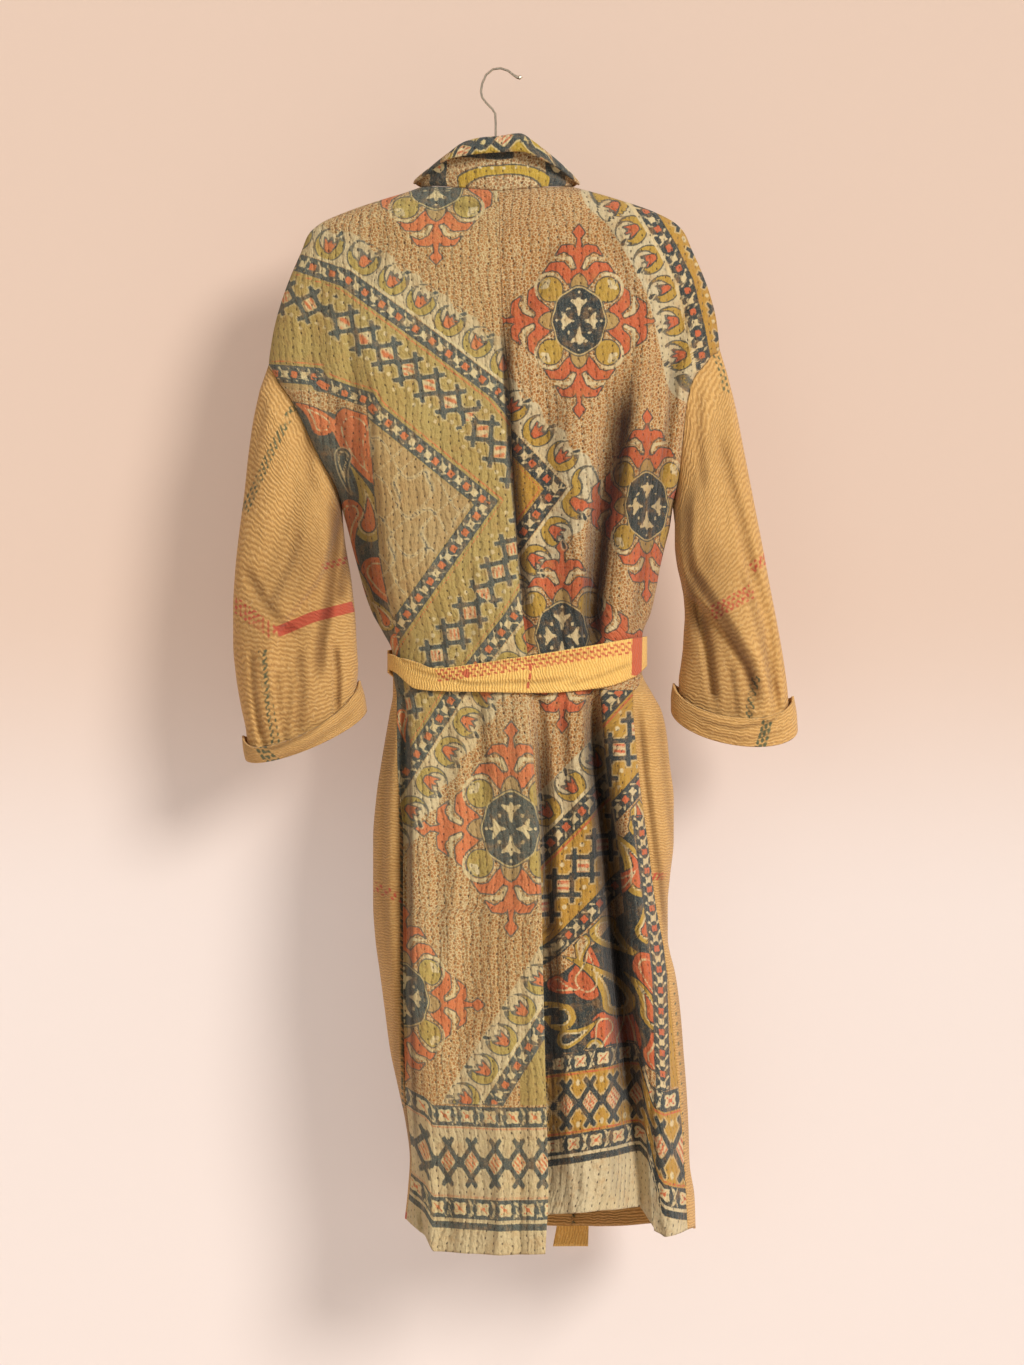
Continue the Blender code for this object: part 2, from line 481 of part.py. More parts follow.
def neck_section(point, half):
    x = ZERO_X - point[0] / UNIT
    y = ZERO_Y - point[2] / UNIT
    top = (y - float(at(COLLAR, x, 1))) * UNIT
    low = (y - float(at(COLLAR, x, 2))) * UNIT
    reach = float(at(COLLAR, x, 3)) * 0.001
    centre = 498.0
    s = min(1.0, abs(x - centre) / (77.0 if half < 0 else 74.0))
    turn = (s ** 2.0) * math.pi / 2
    out = np.array([-half * math.sin(turn), math.cos(turn), 0.0])
    up = np.array([0.0, 0.0, 1.0])
    shape = [
        (0.0, 0.0), (0.0025, 0.28 * top), (0.0012, 0.58 * top), (0.0004, top - 0.30 * min(top, 0.012)),
        (0.0020, top - 0.0004), (0.0058, top), (0.3 * 0.0058 + 0.7 * reach, top - 0.45 * (top - low)),
        (reach, low),
    ]
    if top < 0.02:
        t = top / 0.02
        shape = [(a if k > 4 else a * t, b) for k, (a, b) in enumerate(shape)]
    return [point + out * a + up * (b + STAND_GAP) for a, b in shape]


def lapel_section(point, index, half):
    row = float(ROWS[index])
    x = ZERO_X - point[0] / UNIT
    y = ZERO_Y - point[2] / UNIT
    wide = float(at(LAPEL, row, 1)) / 1.08
    lift = [0.0, 2.0, 4.0, 5.0, 4.6, 3.2, 2.2, 1.2]
    reach = [0.0, -0.010, 0.0, 0.05, 0.15, 0.40, 0.72, 1.0]
    blend = min(1.0, index / 3.0)
    points = []
    base = -point[1] * 1000
    side = SIDE_LEFT if half < 0 else SIDE_RIGHT
    limit = abs(float(at(side, row, 1)) - x) * 0.92
    wide = min(wide, limit)
    for a, b in zip(reach, lift):
        xx = x + half * wide * a
        deep = -float(depth(np.array(xx), np.array(row), half, -1))
        rise = (1 - blend) * 4.0 * min(1.0, b / 3.0)
        points.append(space(xx, y - rise, -(max(deep, 0.0) if a > 0 else base) - b))
    points[0] = point - np.array([0.0, STAND_GAP, 0.0])
    return points


def belt_ring():
    """Closed band round the cinched waist."""
    grid = []
    for level in (0.0, 0.5, 1.0):
        line = []
        for step in range(BELT_STEPS):
            turn = 2 * math.pi * step / BELT_STEPS
            half = -1 if math.sin(turn) > 0 else 1
            side = SIDE_LEFT if half < 0 else SIDE_RIGHT
            face = 1 if math.cos(turn) > 0 else -1
            centre = 528.0
            wide = abs(float(at(side, 668.0, 1)) - centre) + BELT_LIFT / 1.08
            x = centre + half * wide * abs(math.sin(turn))
            table = BELT_BACK if face > 0 else BELT_FRONT
            top, low = float(at(table, x, 1)), float(at(table, x, 2))
            y = top + (low - top) * level
            full = (62.0 if face > 0 else 58.0) + BELT_LIFT + 0.8 * math.sin(level * math.pi)
            flat = max(0.0, 1 - abs(math.sin(turn)) ** 2.2) ** 0.5
            line.append(space(x, y, face * full * flat))
        grid.append(line)
    return np.array(grid)


def tail(rows):
    """Flat hanging end in front of the front panels, as a grid of its outer face."""
    grid = []
    for y, x0, x1, ahead in rows:
        line = []
        for s in (0.0, 0.33, 0.67, 1.0):
            x = x0 + (x1 - x0) * s
            row = min(float(y), LAST_Y)
            half = -1 if x < float(at(TRACKS_LEFT, row, 1)) else 1
            deep = -float(depth(np.array(x), np.array(row), half, -1))
            deep = max(deep, -float(depth(np.array(550.0), np.array(row), 1, -1)) - 1.0)
            line.append(space(x, y, -deep - ahead - 0.8 * math.sin(s * math.pi)))
        grid.append(line)
    return np.array(grid)


def grid_normals(grid, closed):
    rows = np.gradient(grid, axis=0)
    if closed:
        cols = (np.roll(grid, -1, axis=1) - np.roll(grid, 1, axis=1)) / 2
    else:
        cols = np.gradient(grid, axis=1)
    normals = np.cross(rows, cols)
    size = np.linalg.norm(normals, axis=-1, keepdims=True)
    return normals / np.maximum(size, 1e-12)


def key(point):
    return tuple(int(round(v * 1e6)) for v in point)


def share_normals(pieces):
    """Averages the normals where two pieces meet, so that their walls end on one plane."""
    shared = {}
    for piece in pieces:
        grid, normals = piece["grid"], piece["normals"]
        for i, j in edge_points(piece):
            shared.setdefault(key(grid[i, j]), []).append(normals[i, j])
    for piece in pieces:
        grid, normals = piece["grid"], piece["normals"]
        piece["offset"] = normals.copy()
        for i, j in edge_points(piece):
            met = [n for n in shared[key(grid[i, j])] if float(np.dot(normals[i, j], n)) > -0.75]
            total = np.sum(met, axis=0)
            total = total / max(np.linalg.norm(total), 1e-9)
            grow = min(MITRE, 1 / max(0.3, float(np.dot(total, normals[i, j]))))
            piece["offset"][i, j] = total * grow


def edge_points(piece):
    count, wide = piece["grid"].shape[:2]
    found = {(0, j) for j in range(wide)} | {(count - 1, j) for j in range(wide)}
    if not piece["closed"]:
        found |= {(i, 0) for i in range(count)} | {(i, wide - 1) for i in range(count)}
    return sorted(found)


def pulled_in(piece):
    """Edge points moved half a seam gap into their own piece."""
    grid = piece["grid"].copy()
    source, offset = piece["grid"], piece["offset"]
    count, wide = grid.shape[:2]
    jobs = [(0, j, 1, j) for j in range(wide)] + [(count - 1, j, count - 2, j) for j in range(wide)]
    if not piece["closed"]:
        jobs += [(i, 0, i, 1) for i in range(count)] + [(i, wide - 1, i, wide - 2) for i in range(count)]
    for i, j, a, b in jobs:
        way = source[a, b] - source[i, j]
        normal = offset[i, j] / np.linalg.norm(offset[i, j])
        way = way - normal * np.dot(way, normal)
        size = np.linalg.norm(way)
        if size > 1e-9:
            grid[i, j] += way / size * SEAM
    return grid


def material(name):
    found = bpy.data.materials.get(name)
    if found:
        return found
    made = bpy.data.materials.new(name)
    made.use_nodes = True
    shader = made.node_tree.nodes["Principled BSDF"]
    shader.inputs["Base Color"].default_value = (*COLOURS[name], 1.0)
    metal = name == "wire"
    shader.inputs["Metallic"].default_value = 1.0 if metal else 0.0
    shader.inputs["Roughness"].default_value = 0.25 if metal else 0.9
    return made


def add_mesh(name, points, faces, colour):
    mesh = bpy.data.meshes.new(name)
    mesh.from_pydata([tuple(map(float, p)) for p in points], [], faces)
    mesh.update()
    made = bpy.data.objects.new(name, mesh)
    made.data.materials.append(material(colour))
    bpy.context.scene.collection.objects.link(made)
    return made


def add_wall(piece):
    """Solid wall between the outer grid and its points moved in by the wall."""
    outer = pulled_in(piece)
    inner = outer - piece["offset"] * piece.get("wall", WALL)
    count, wide = outer.shape[:2]
    points = list(outer.reshape(-1, 3)) + list(inner.reshape(-1, 3))
    half = count * wide
    faces = []
    last = wide if piece["closed"] else wide - 1
    for i in range(count - 1):
        for j in range(last):
            a, b = i * wide + j, i * wide + (j + 1) % wide
            c, d = b + wide, a + wide
            for base, turn in ((0, piece["turn"]), (half, not piece["turn"])):
                quad = [(a + base, b + base, c + base), (a + base, c + base, d + base)]
                faces += [tri[::-1] if turn else tri for tri in quad]
    rim = []
    for j in range(last):
        rim.append((j, (j + 1) % wide))
        rim.append(((count - 1) * wide + (j + 1) % wide, (count - 1) * wide + j))
    if not piece["closed"]:
        for i in range(count - 1):
            rim.append(((i + 1) * wide, i * wide))
            rim.append((i * wide + wide - 1, (i + 1) * wide + wide - 1))
    corners = [key(point)[::-1] for point in piece["grid"].reshape(-1, 3)]
    for a, b in rim:
        if corners[a] < corners[b]:
            quad = [(b, a, a + half), (b, a + half, b + half)]
        else:
            quad = [(b, a, b + half), (a, a + half, b + half)]
        faces += [tri[::-1] if piece["turn"] else tri for tri in quad]
    return add_mesh(piece["name"], points, faces, piece["colour"])


def make_piece(name, grid, colour, closed=False, middle=None, flip=False, wall=WALL):
    normals = grid_normals(grid, closed)
    sign = 1.0
    if middle is not None:
        sign = 1.0 if np.sum(normals * (grid - middle)) > 0 else -1.0
    if flip:
        sign = -sign
    return {"name": name, "grid": grid, "normals": normals * sign, "closed": closed, "colour": colour,
            "turn": sign > 0, "wall": wall}


def row_middles(grid, centre):
    """A point on the body's axis for every row."""
    return np.array([[(centre[0], centre[1], line[:, 2].mean())] for line in grid])


def tube(name, path, radius, colour, sides=8, flat=1.0):
    """Round or flat bar along a path of points in metres."""
    path = np.array(path)
    points, faces = [], []
    count = len(path)
    for i, centre in enumerate(path):
        way = path[min(i + 1, count - 1)] - path[max(i - 1, 0)]
        way = way / np.linalg.norm(way)
        deep = np.array([0.0, 1.0, 0.0])
        other = np.cross(way, deep)
        other = other / np.linalg.norm(other)
        thick = radius[i] if isinstance(radius, (list, tuple)) else radius
        for j in range(sides):
            turn = 2 * math.pi * (j + 0.5) / sides
            points.append(centre + thick * (math.cos(turn) * other + flat * math.sin(turn) * deep))
    for i in range(count - 1):
        for j in range(sides):
            a, b = i * sides + j, i * sides + (j + 1) % sides
            faces += [(a, b + sides, b), (a, a + sides, b + sides)]
    faces += [(0, j, j + 1) for j in range(1, sides - 1)]
    base = (count - 1) * sides
    faces += [(base, base + j + 1, base + j) for j in range(1, sides - 1)]
    return add_mesh(name, points, faces, colour)


def blob(name, centre, sizes, colour, rows=7, cols=12):
    """Soft pillow, used for the knot."""
    points, faces = [centre + np.array([0, 0, sizes[2]])], []
    for i in range(1, rows):
        lat = math.pi * i / rows
        for j in range(cols):
            lon = 2 * math.pi * j / cols
            wave = 1 + 0.07 * math.sin(3 * lon + 1.5 * lat)
            points.append(centre + np.array([
                sizes[0] * math.copysign(abs(math.sin(lat) * math.cos(lon)) ** 0.8, math.cos(lon)) * wave,
                sizes[1] * math.copysign(abs(math.sin(lat) * math.sin(lon)) ** 0.8, math.sin(lon)),
                sizes[2] * math.copysign(abs(math.cos(lat)) ** 0.8, math.cos(lat))]))
    points.append(centre - np.array([0, 0, sizes[2]]))
    for j in range(cols):
        faces.append((0, 1 + j, 1 + (j + 1) % cols))
        base = 1 + (rows - 2) * cols
        faces.append((len(points) - 1, base + (j + 1) % cols, base + j))
    for i in range(rows - 2):
        for j in range(cols):
            a, b = 1 + i * cols + j, 1 + i * cols + (j + 1) % cols
            faces += [(a, a + cols, b + cols), (a, b + cols, b)]
    return add_mesh(name, points, faces, colour)


def build():
    back_left, back_right = back_panel(-1), back_panel(1)
    front_left, front_right = front_panel(-1), front_panel(1)
    axis = (ZERO_X - 520) * UNIT, 0.0
    pieces = [
        make_piece("back_left", back_left, "print_left", middle=row_middles(back_left, axis)),
        make_piece("back_right", back_right, "print_right", middle=row_middles(back_right, axis)),
        make_piece("front_left", front_left, "tan_cloth", middle=row_middles(front_left, axis)),
        make_piece("front_right", front_right, "tan_cloth", middle=row_middles(front_right, axis)),
    ]
    for name, half, rings in (("left", -1, CUFF_LEFT), ("right", 1, CUFF_RIGHT)):
        grid = sleeve(half)
        middle = grid.mean(axis=1, keepdims=True)
        pieces.append(make_piece("sleeve_" + name, grid, "tan_cloth", True, middle))
        grid = np.array([ring_points(ring, None, ROUND_BACK) for ring in rings])
        middle = grid.mean(axis=1, keepdims=True)
        pieces.append(make_piece("cuff_" + name, grid, "tan_cloth", True, middle))
    strip = collar(back_left, back_right, front_left, front_right)
    made = make_piece("collar", strip, "collar_cloth")
    middle = LAPEL_ROWS - 1 + FRONT_STEPS + back_left.shape[1] - 1
    if made["normals"][middle, 0][1] < 0:
        made["normals"], made["turn"] = -made["normals"], False
    pieces.append(made)
    ring = belt_ring()
    pieces.append(make_piece("belt", ring, "belt_cloth", True, ring.mean(axis=1, keepdims=True)))
    for name, rows in (("belt_end_long", TAIL_LONG), ("belt_end_short", TAIL_SHORT)):
        grid = tail(rows)
        pieces.append(make_piece(name, grid, "belt_cloth", middle=np.array([axis[0], 0.0, -0.9])))
    share_normals(pieces)
    for piece in pieces:
        add_wall(piece)
    deep = 58.0 + BELT_LIFT + 7.0
    knot = space(KNOT[0], KNOT[1], -deep)
    blob("belt_knot", knot, (0.021, 0.0068, 0.0125), "belt_cloth")
    wire = [space(x, y, 0.0) for x, y in HOOK]
    tube("hanger_hook", wire, [WIRE * 1.35, WIRE * 1.8, WIRE * 1.35] + [WIRE] * (len(wire) - 3), "wire")
    bar = [space(x, y, 0.0) for x, y in ARM_LEFT[:0:-1]] + [space(x, y, 0.0) for x, y in ARM_RIGHT]
    tube("hanger_bar", bar, 0.0065, "bar", flat=0.75)


for old in list(bpy.data.objects):
    bpy.data.objects.remove(old)
build()
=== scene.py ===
"""Looks of the long stitched coat on its hanger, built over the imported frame.

Tables are laid out in units of 1.08 mm, as in the model: x to the wearer's right, y down, and
depth in mm. half is -1 for the wearer's left half of the coat and 1 for the right half.
"""

import math

import bmesh
import bpy
import numpy as np
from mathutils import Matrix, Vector


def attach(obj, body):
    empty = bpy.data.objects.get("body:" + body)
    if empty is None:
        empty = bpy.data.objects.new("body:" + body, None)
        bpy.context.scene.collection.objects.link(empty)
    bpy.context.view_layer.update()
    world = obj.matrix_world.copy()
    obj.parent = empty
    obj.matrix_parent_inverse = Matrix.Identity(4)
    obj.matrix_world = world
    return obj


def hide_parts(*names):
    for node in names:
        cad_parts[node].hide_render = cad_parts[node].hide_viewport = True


bl_info = {
    "name": "Long stitched coat",
    "version": (1, 0, 0),
    "blender": (4, 5, 0),
    "location": "View3D > Sidebar > Coat",
    "description": "Builds the looks of a long stitched coat on a hanger",
    "category": "Object",
}

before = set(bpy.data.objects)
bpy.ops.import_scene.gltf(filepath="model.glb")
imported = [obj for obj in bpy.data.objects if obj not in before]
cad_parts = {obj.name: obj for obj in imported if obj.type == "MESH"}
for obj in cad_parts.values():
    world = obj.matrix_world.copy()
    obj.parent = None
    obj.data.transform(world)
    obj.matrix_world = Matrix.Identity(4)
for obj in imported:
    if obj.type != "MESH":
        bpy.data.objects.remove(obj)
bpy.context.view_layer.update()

# Metres in a table unit and in a millimetre, and millimetres in a table unit
UNIT, MM, UNIT_MM = 0.00108, 0.001, 1.08
# Top of the hook and size of the picture, in table units
ZERO_X, ZERO_Y, PICTURE = 498.0, 65.0, (1024, 1365)
# Rows: top of the centre-back vent, lowest row, middle of the belt, start of the side seam's turn
VENT_Y, LAST_Y, WAIST_Y, SEAM_Y = 905.0, 1240.0, 667, 672
# Rows over which the side seam turns, and reach of the belt's hold above and below it
SEAM_RUN, CINCH_REACH = 21.0, 34.0
# Right front over left front and belt over coat, in mm, and the row and middle of the belt's loop
LAP, BELT_LIFT, BELT_ROW, BELT_X = 9.0, 6.0, 668.0, 528.0
# Collar over the neck seam, in metres, the rows along the lapels and the points across the strip
STAND_GAP, LAPEL_ROWS, COLLAR_COLUMNS = 0.00035, 18, 30
# Height of a row of faces on the backs and on the fronts, and faces across a front
BACK_STEP, FRONT_STEP, FRONT_COLUMNS = 2.35, 3.2, 72
# Thickness of the cloth and of the wrapped knot, in metres
WALL, KNOT_WALL = 0.0024, 0.0015
# Share of a crease along which each end fades, and depth and painted shade of the same crease on a
# hidden side
CREASE_END, HIDDEN_SHARE = 0.2, 0.8
# Distance that draws nothing, and a limit that leaves everything
FAR, ANYWHERE = 30.0, -1e9

# Rows of the body: y at the centre back
ROWS = [
    190, 200, 212, 226, 240, 255, 272, 292, 314, 338, 360, 375, 390, 405, 420, 435, 450, 465, 480,
    494, 508, 526, 546, 568, 590, 612, 632, 651, 672, 693, 712, 735, 765, 800, 840, 880, 905, 940,
    980, 1020, 1060, 1100, 1140, 1175, 1210, 1240,
]
ARM_FIRST, ARM_COUNT = 10, 11  # rows along the armhole


def below_armhole(*edge):
    """Rows of the outer edge below the armhole, given by their x alone."""
    return [(y, x, y, 0) for y, x in zip(ROWS[ARM_FIRST + ARM_COUNT:], edge)]


# Outer edge of each half: row y, x, y, depth of the armhole seam
SIDE_LEFT = [
    (190, 421, 183, 0), (200, 406, 188.5, 0), (212, 381, 196, 0), (226, 347, 207.5, 0),
    (240, 319, 220, 0), (255, 307, 231, 0), (272, 299, 250, 0), (292, 287, 278, 0),
    (314, 278, 304, 0), (338, 271, 332, 0), (360, 267, 362, 0), (375, 272, 371, 9),
    (390, 280, 384, 15), (405, 290, 398, 20), (420, 299, 415, 24), (435, 307, 432, 26),
    (450, 315, 449, 26), (465, 323, 464, 24), (480, 331, 478, 20), (494, 337, 491, 12),
    (508, 341, 508, 0),
] + below_armhole(
    346, 351, 357, 363, 371, 382, 391, 392, 392, 389, 385, 380, 375, 372, 372, 372, 374, 379, 384,
    389, 397, 405, 409, 407, 404)
SIDE_RIGHT = [
    (190, 572, 183, 0), (200, 590, 187.5, 0), (212, 616, 195, 0), (226, 652, 207, 0),
    (240, 677, 220, 0), (255, 686, 230, 0), (272, 693, 246, 0), (292, 702, 266, 0),
    (314, 711, 290, 0), (338, 718, 318, 0), (360, 721, 346, 0), (375, 712, 355, 9),
    (390, 703, 366, 15), (405, 695, 376, 20), (420, 690, 390, 24), (435, 687, 406, 26),
    (450, 685, 424, 26), (465, 683, 444, 24), (480, 681, 464, 20), (494, 678, 485, 12),
    (508, 674, 506, 0),
] + below_armhole(
    671, 666, 661, 657, 652, 644, 642, 643, 653, 663, 668, 671, 675, 675, 671, 669, 669, 677, 682,
    685, 688, 690, 691, 696, 697)

# Back panels, x of each line: row y, centre back, lip, mid fold, ridge, valley, side seam
TRACKS_LEFT = [
    (190, 498, 495, 479, 459, 446, 421), (200, 499, 495, 470, 438, 422, 406),
    (212, 499, 495, 462, 422, 402, 381), (226, 499, 495, 452, 401, 377, 347),
    (240, 499, 495, 446, 386, 360, 319), (255, 500, 496, 443, 378, 350, 307),
    (272, 500, 496, 441, 371, 345, 299), (292, 501, 497, 440, 367, 343, 287),
    (314, 502, 498, 440, 366, 343, 278), (360, 506, 502, 443, 372, 350, 267),
    (405, 510, 506, 448, 377, 354, 290), (460, 512, 508, 452, 381, 357, 321),
    (508, 515, 511, 455, 384, 362, 341), (560, 518, 514, 457, 388, 369, 355),
    (600, 521, 517, 458, 395, 378, 367), (651, 527, 523, 462, 408, 401, 391),
    (693, 530, 526, 468, 412, 404, 396), (765, 534, 530, 471, 412, 404, 397),
    (840, 540, 536, 474, 412, 407, 404), (980, 543, 539, 477, 412, 407, 404),
    (1100, 546, 542, 479, 413, 408, 405), (1175, 548, 544, 482, 420, 414, 411),
    (1240, 545, 542, 484, 432, 424, 406),
]
# Row y, centre back, shadow, mid, panel edge, valley, ridge left, ridge top, side seam
TRACKS_RIGHT = [
    (190, 498, 502, 513, 526, 535, 544, 553, 572), (200, 499, 504, 520, 541, 554, 566, 576, 590),
    (212, 499, 505, 527, 553, 569, 583, 597, 616), (226, 499, 508, 535, 568, 587, 603, 620, 652),
    (240, 499, 509, 541, 578, 600, 617, 634, 677), (255, 500, 510, 546, 584, 606, 624, 642, 686),
    (272, 500, 511, 549, 590, 611, 630, 649, 693), (292, 501, 512, 551, 594, 615, 636, 655, 702),
    (314, 502, 513, 553, 598, 618, 638, 656, 711), (360, 506, 516, 556, 600, 618, 633, 648, 721),
    (405, 510, 520, 558, 598, 611, 624, 638, 695), (460, 512, 522, 558, 592, 604, 616, 632, 684),
    (508, 515, 525, 557, 588, 600, 612, 629, 674), (560, 518, 528, 557, 585, 596, 607, 625, 662),
    (600, 521, 531, 557, 582, 592, 603, 621, 655), (651, 527, 537, 559, 582, 592, 602, 617, 642),
    (693, 530, 541, 562, 584, 593, 602, 617, 633), (765, 534, 546, 567, 590, 598, 607, 622, 638),
    (844, 540, 552, 574, 597, 607, 618, 632, 648), (905, 542, 554, 577, 600, 613, 624, 640, 656),
    (960, 543, 556, 579, 602, 616, 629, 646, 666), (1040, 545, 558, 582, 606, 623, 638, 654, 674),
    (1130, 547, 561, 587, 612, 632, 646, 664, 682), (1240, 546, 562, 591, 618, 638, 655, 674, 688),
]
# Front edges above and below the belt: row y, x of the left front, x of the right front
FRONT_EDGE = [
    (190, 430, 563), (200, 431, 562), (212, 431, 562), (226, 432, 561), (255, 434, 559),
    (314, 443, 553), (360, 455, 544), (405, 472, 530), (450, 488, 516), (494, 503, 503),
    (546, 521, 487), (590, 536, 475), (632, 549, 465), (672, 556, 460), (735, 562, 456),
    (980, 570, 450), (1240, 574, 446),
]

# Half depths in mm at the centre: row y, back, front, roundness (0.5 is an ellipse)
DEPTH = [
    (190, 38, 22, 0.52), (200, 40, 26, 0.52), (226, 44, 34, 0.54), (255, 49, 42, 0.56),
    (292, 55, 48, 0.58), (338, 61, 54, 0.58), (405, 67, 60, 0.56), (460, 70, 62, 0.54),
    (508, 72, 63, 0.5), (568, 70, 62, 0.5), (612, 66, 60, 0.5), (651, 62, 58, 0.5),
    (693, 62, 58, 0.5), (735, 68, 64, 0.5), (840, 82, 76, 0.5), (980, 96, 88, 0.5),
    (1100, 104, 95, 0.5), (1240, 110, 100, 0.5),
]

# Soft folds of the back, one row a place: y, x, reach to the left, reach to the right, height in mm
FOLDS_BACK = {
    "left ridge": [
        (280, 367, 30, 50, 0), (340, 370, 16, 50, 3), (405, 377, 12, 55, 7), (508, 384, 13, 60, 9),
        (600, 395, 12, 60, 9), (632, 402, 10, 60, 4), (651, 406, 9, 60, 3), (693, 412, 7, 60, 6),
        (765, 412, 6, 60, 13), (900, 412, 6, 60, 14), (1100, 413, 7, 60, 11),
        (1175, 420, 8, 55, 9), (1240, 432, 8, 50, 9)],
    "left valley": [
        (300, 345, 14, 10, 0), (360, 350, 14, 10, -5), (460, 356, 12, 12, -9),
        (560, 369, 10, 10, -9), (600, 379, 8, 8, -6), (651, 401, 8, 7, -1), (693, 404, 7, 6, -9),
        (800, 406, 8, 6, -12), (1000, 407, 8, 6, -10), (1100, 407, 8, 6, -8),
        (1175, 414, 8, 6, -7), (1240, 424, 8, 6, -6)],
    "left tan roll": [
        (693, 396, 4, 5, 0), (765, 391, 9, 9, 4), (900, 388, 11, 12, 6), (1060, 396, 8, 8, 5),
        (1140, 404, 6, 6, 0)],
    "left mid fold": [
        (640, 470, 20, 25, 0), (720, 476, 16, 22, -4), (900, 470, 20, 25, -5),
        (1100, 455, 22, 26, -5), (1240, 450, 20, 26, -7)],
    "left second mid": [(700, 510, 15, 15, 0), (860, 508, 16, 18, 3), (1240, 500, 22, 22, 5)],
    "centre lip": [
        (600, 520, 30, 5, 0), (693, 525, 40, 5, 5), (765, 530, 45, 5, 9), (900, 538, 45, 5, 12),
        (1240, 543, 45, 5, 10)],
    "centre seam": [
        (200, 499, 8, 8, -1), (508, 515, 9, 9, -3), (640, 526, 9, 9, -3), (700, 530, 3, 3, 0)],
    "centre shadow": [
        (640, 530, 4, 10, 0), (693, 536, 6, 12, -9), (765, 541, 6, 14, -13),
        (905, 547, 6, 14, -14), (1100, 552, 8, 18, -14), (1240, 552, 10, 24, -13)],
    "right panel edge": [
        (420, 598, 20, 8, 0), (508, 586, 25, 8, 5), (600, 580, 25, 8, 7), (632, 580, 22, 8, 3),
        (651, 580, 20, 8, 2), (693, 580, 28, 8, 4), (800, 590, 30, 7, 7), (960, 600, 32, 8, 7),
        (1100, 606, 30, 10, 4), (1240, 612, 30, 14, 0)],
    "right deep valley": [
        (400, 608, 16, 14, 0), (460, 604, 14, 12, -6), (560, 596, 13, 12, -13),
        (620, 592, 12, 12, -15), (651, 592, 11, 11, -9), (693, 593, 12, 11, -24),
        (765, 598, 14, 13, -38), (844, 608, 16, 14, -46), (960, 617, 18, 16, -47),
        (1040, 624, 22, 17, -42), (1130, 632, 26, 16, -36), (1240, 640, 32, 16, -30)],
    "right ridge": [
        (290, 656, 16, 20, 0), (360, 646, 16, 26, 7), (430, 633, 14, 30, 9), (560, 625, 14, 30, 9),
        (600, 621, 12, 26, 7), (632, 618, 10, 24, 3), (651, 617, 10, 20, 2), (693, 617, 12, 18, 3),
        (800, 626, 14, 20, 14), (960, 646, 16, 22, 16), (1100, 660, 18, 24, 16),
        (1240, 674, 18, 22, 14)],
    "right arm valley": [
        (300, 686, 14, 12, 0), (350, 680, 12, 10, -8), (430, 674, 10, 8, -10),
        (500, 664, 8, 8, -7), (560, 652, 8, 8, 0)],
    "right tan dip": [
        (672, 636, 6, 6, 0), (735, 640, 8, 8, -6), (844, 650, 8, 8, -7), (940, 662, 6, 5, -4),
        (1000, 670, 5, 5, 0)],
    "shoulder left": [
        (240, 330, 30, 30, 0), (290, 320, 26, 26, -4), (360, 312, 22, 26, -5),
        (440, 335, 20, 20, 0)],
    "yoke right": [
        (240, 560, 30, 30, 0), (320, 575, 26, 30, -3), (420, 570, 26, 30, 2),
        (640, 556, 20, 20, 0)],
}
FOLDS_FRONT = {
    "left drape": [
        (420, 400, 20, 30, 0), (520, 410, 22, 30, -6), (651, 440, 16, 20, -3),
        (760, 440, 26, 30, -9), (1000, 430, 30, 34, -14), (1240, 426, 32, 36, -16)],
    "right drape": [
        (420, 610, 26, 20, 0), (520, 606, 28, 22, -5), (651, 590, 18, 16, -3),
        (760, 596, 28, 26, -10), (1000, 616, 32, 30, -15), (1240, 626, 34, 32, -15)],
    "centre drape": [(693, 520, 24, 24, 0), (840, 522, 28, 26, 6), (1240, 530, 34, 34, 8)],
}

# Hem height along each piece: x, y
HEM_BACK_LEFT = [(400, 1222), (406, 1222), (425, 1235), (433, 1249), (500, 1250), (545, 1248)]
HEM_BACK_RIGHT = [
    (500, 1212), (546, 1211), (603, 1206), (640, 1206), (655, 1228), (664, 1235), (690, 1230),
]
HEM_FRONT = [(370, 1222), (410, 1222), (450, 1236), (600, 1238), (690, 1230), (700, 1234)]

# Sleeves: outer x, y, inner x, y, half depth, sag of the back, sag of the front
SLEEVE_LEFT = [
    (258, 387, 342, 524, 31, 4, 2), (251, 420, 344, 542, 33, 3, 2), (246, 456, 347, 560, 34, 2, 2),
    (242, 494, 350, 578, 35, 2, 2), (237, 532, 352, 596, 36, 3, 2), (233, 570, 354, 614, 37, 4, 3),
    (231, 607, 355, 632, 38, 6, 4), (231, 642, 356, 650, 38, 8, 5),
    (234, 676, 357, 667, 37, 12, 7), (239, 706, 356, 683, 35, 16, 9),
    (244, 730, 356, 695, 33, 18, 10), (246, 755, 363, 707.5, 33.2, 17, 9),
]
SLEEVE_RIGHT = [
    (729, 372, 676, 523, 31, 3, 2), (737, 404, 676, 543, 33, 2, 2), (744, 440, 678, 563, 34, 2, 2),
    (751, 476, 682, 581, 35, 2, 2), (758, 512, 685, 598, 36, 3, 2), (765, 548, 686, 615, 37, 4, 3),
    (772, 586, 685, 632, 38, 6, 4), (779, 622, 684, 649, 38, 8, 5),
    (785, 656, 682, 665, 37, 12, 7), (789, 684, 680, 680, 35, 16, 9),
    (791, 704, 680, 692, 33, 18, 10), (797, 726, 675, 708, 33.2, 25, 10),
]
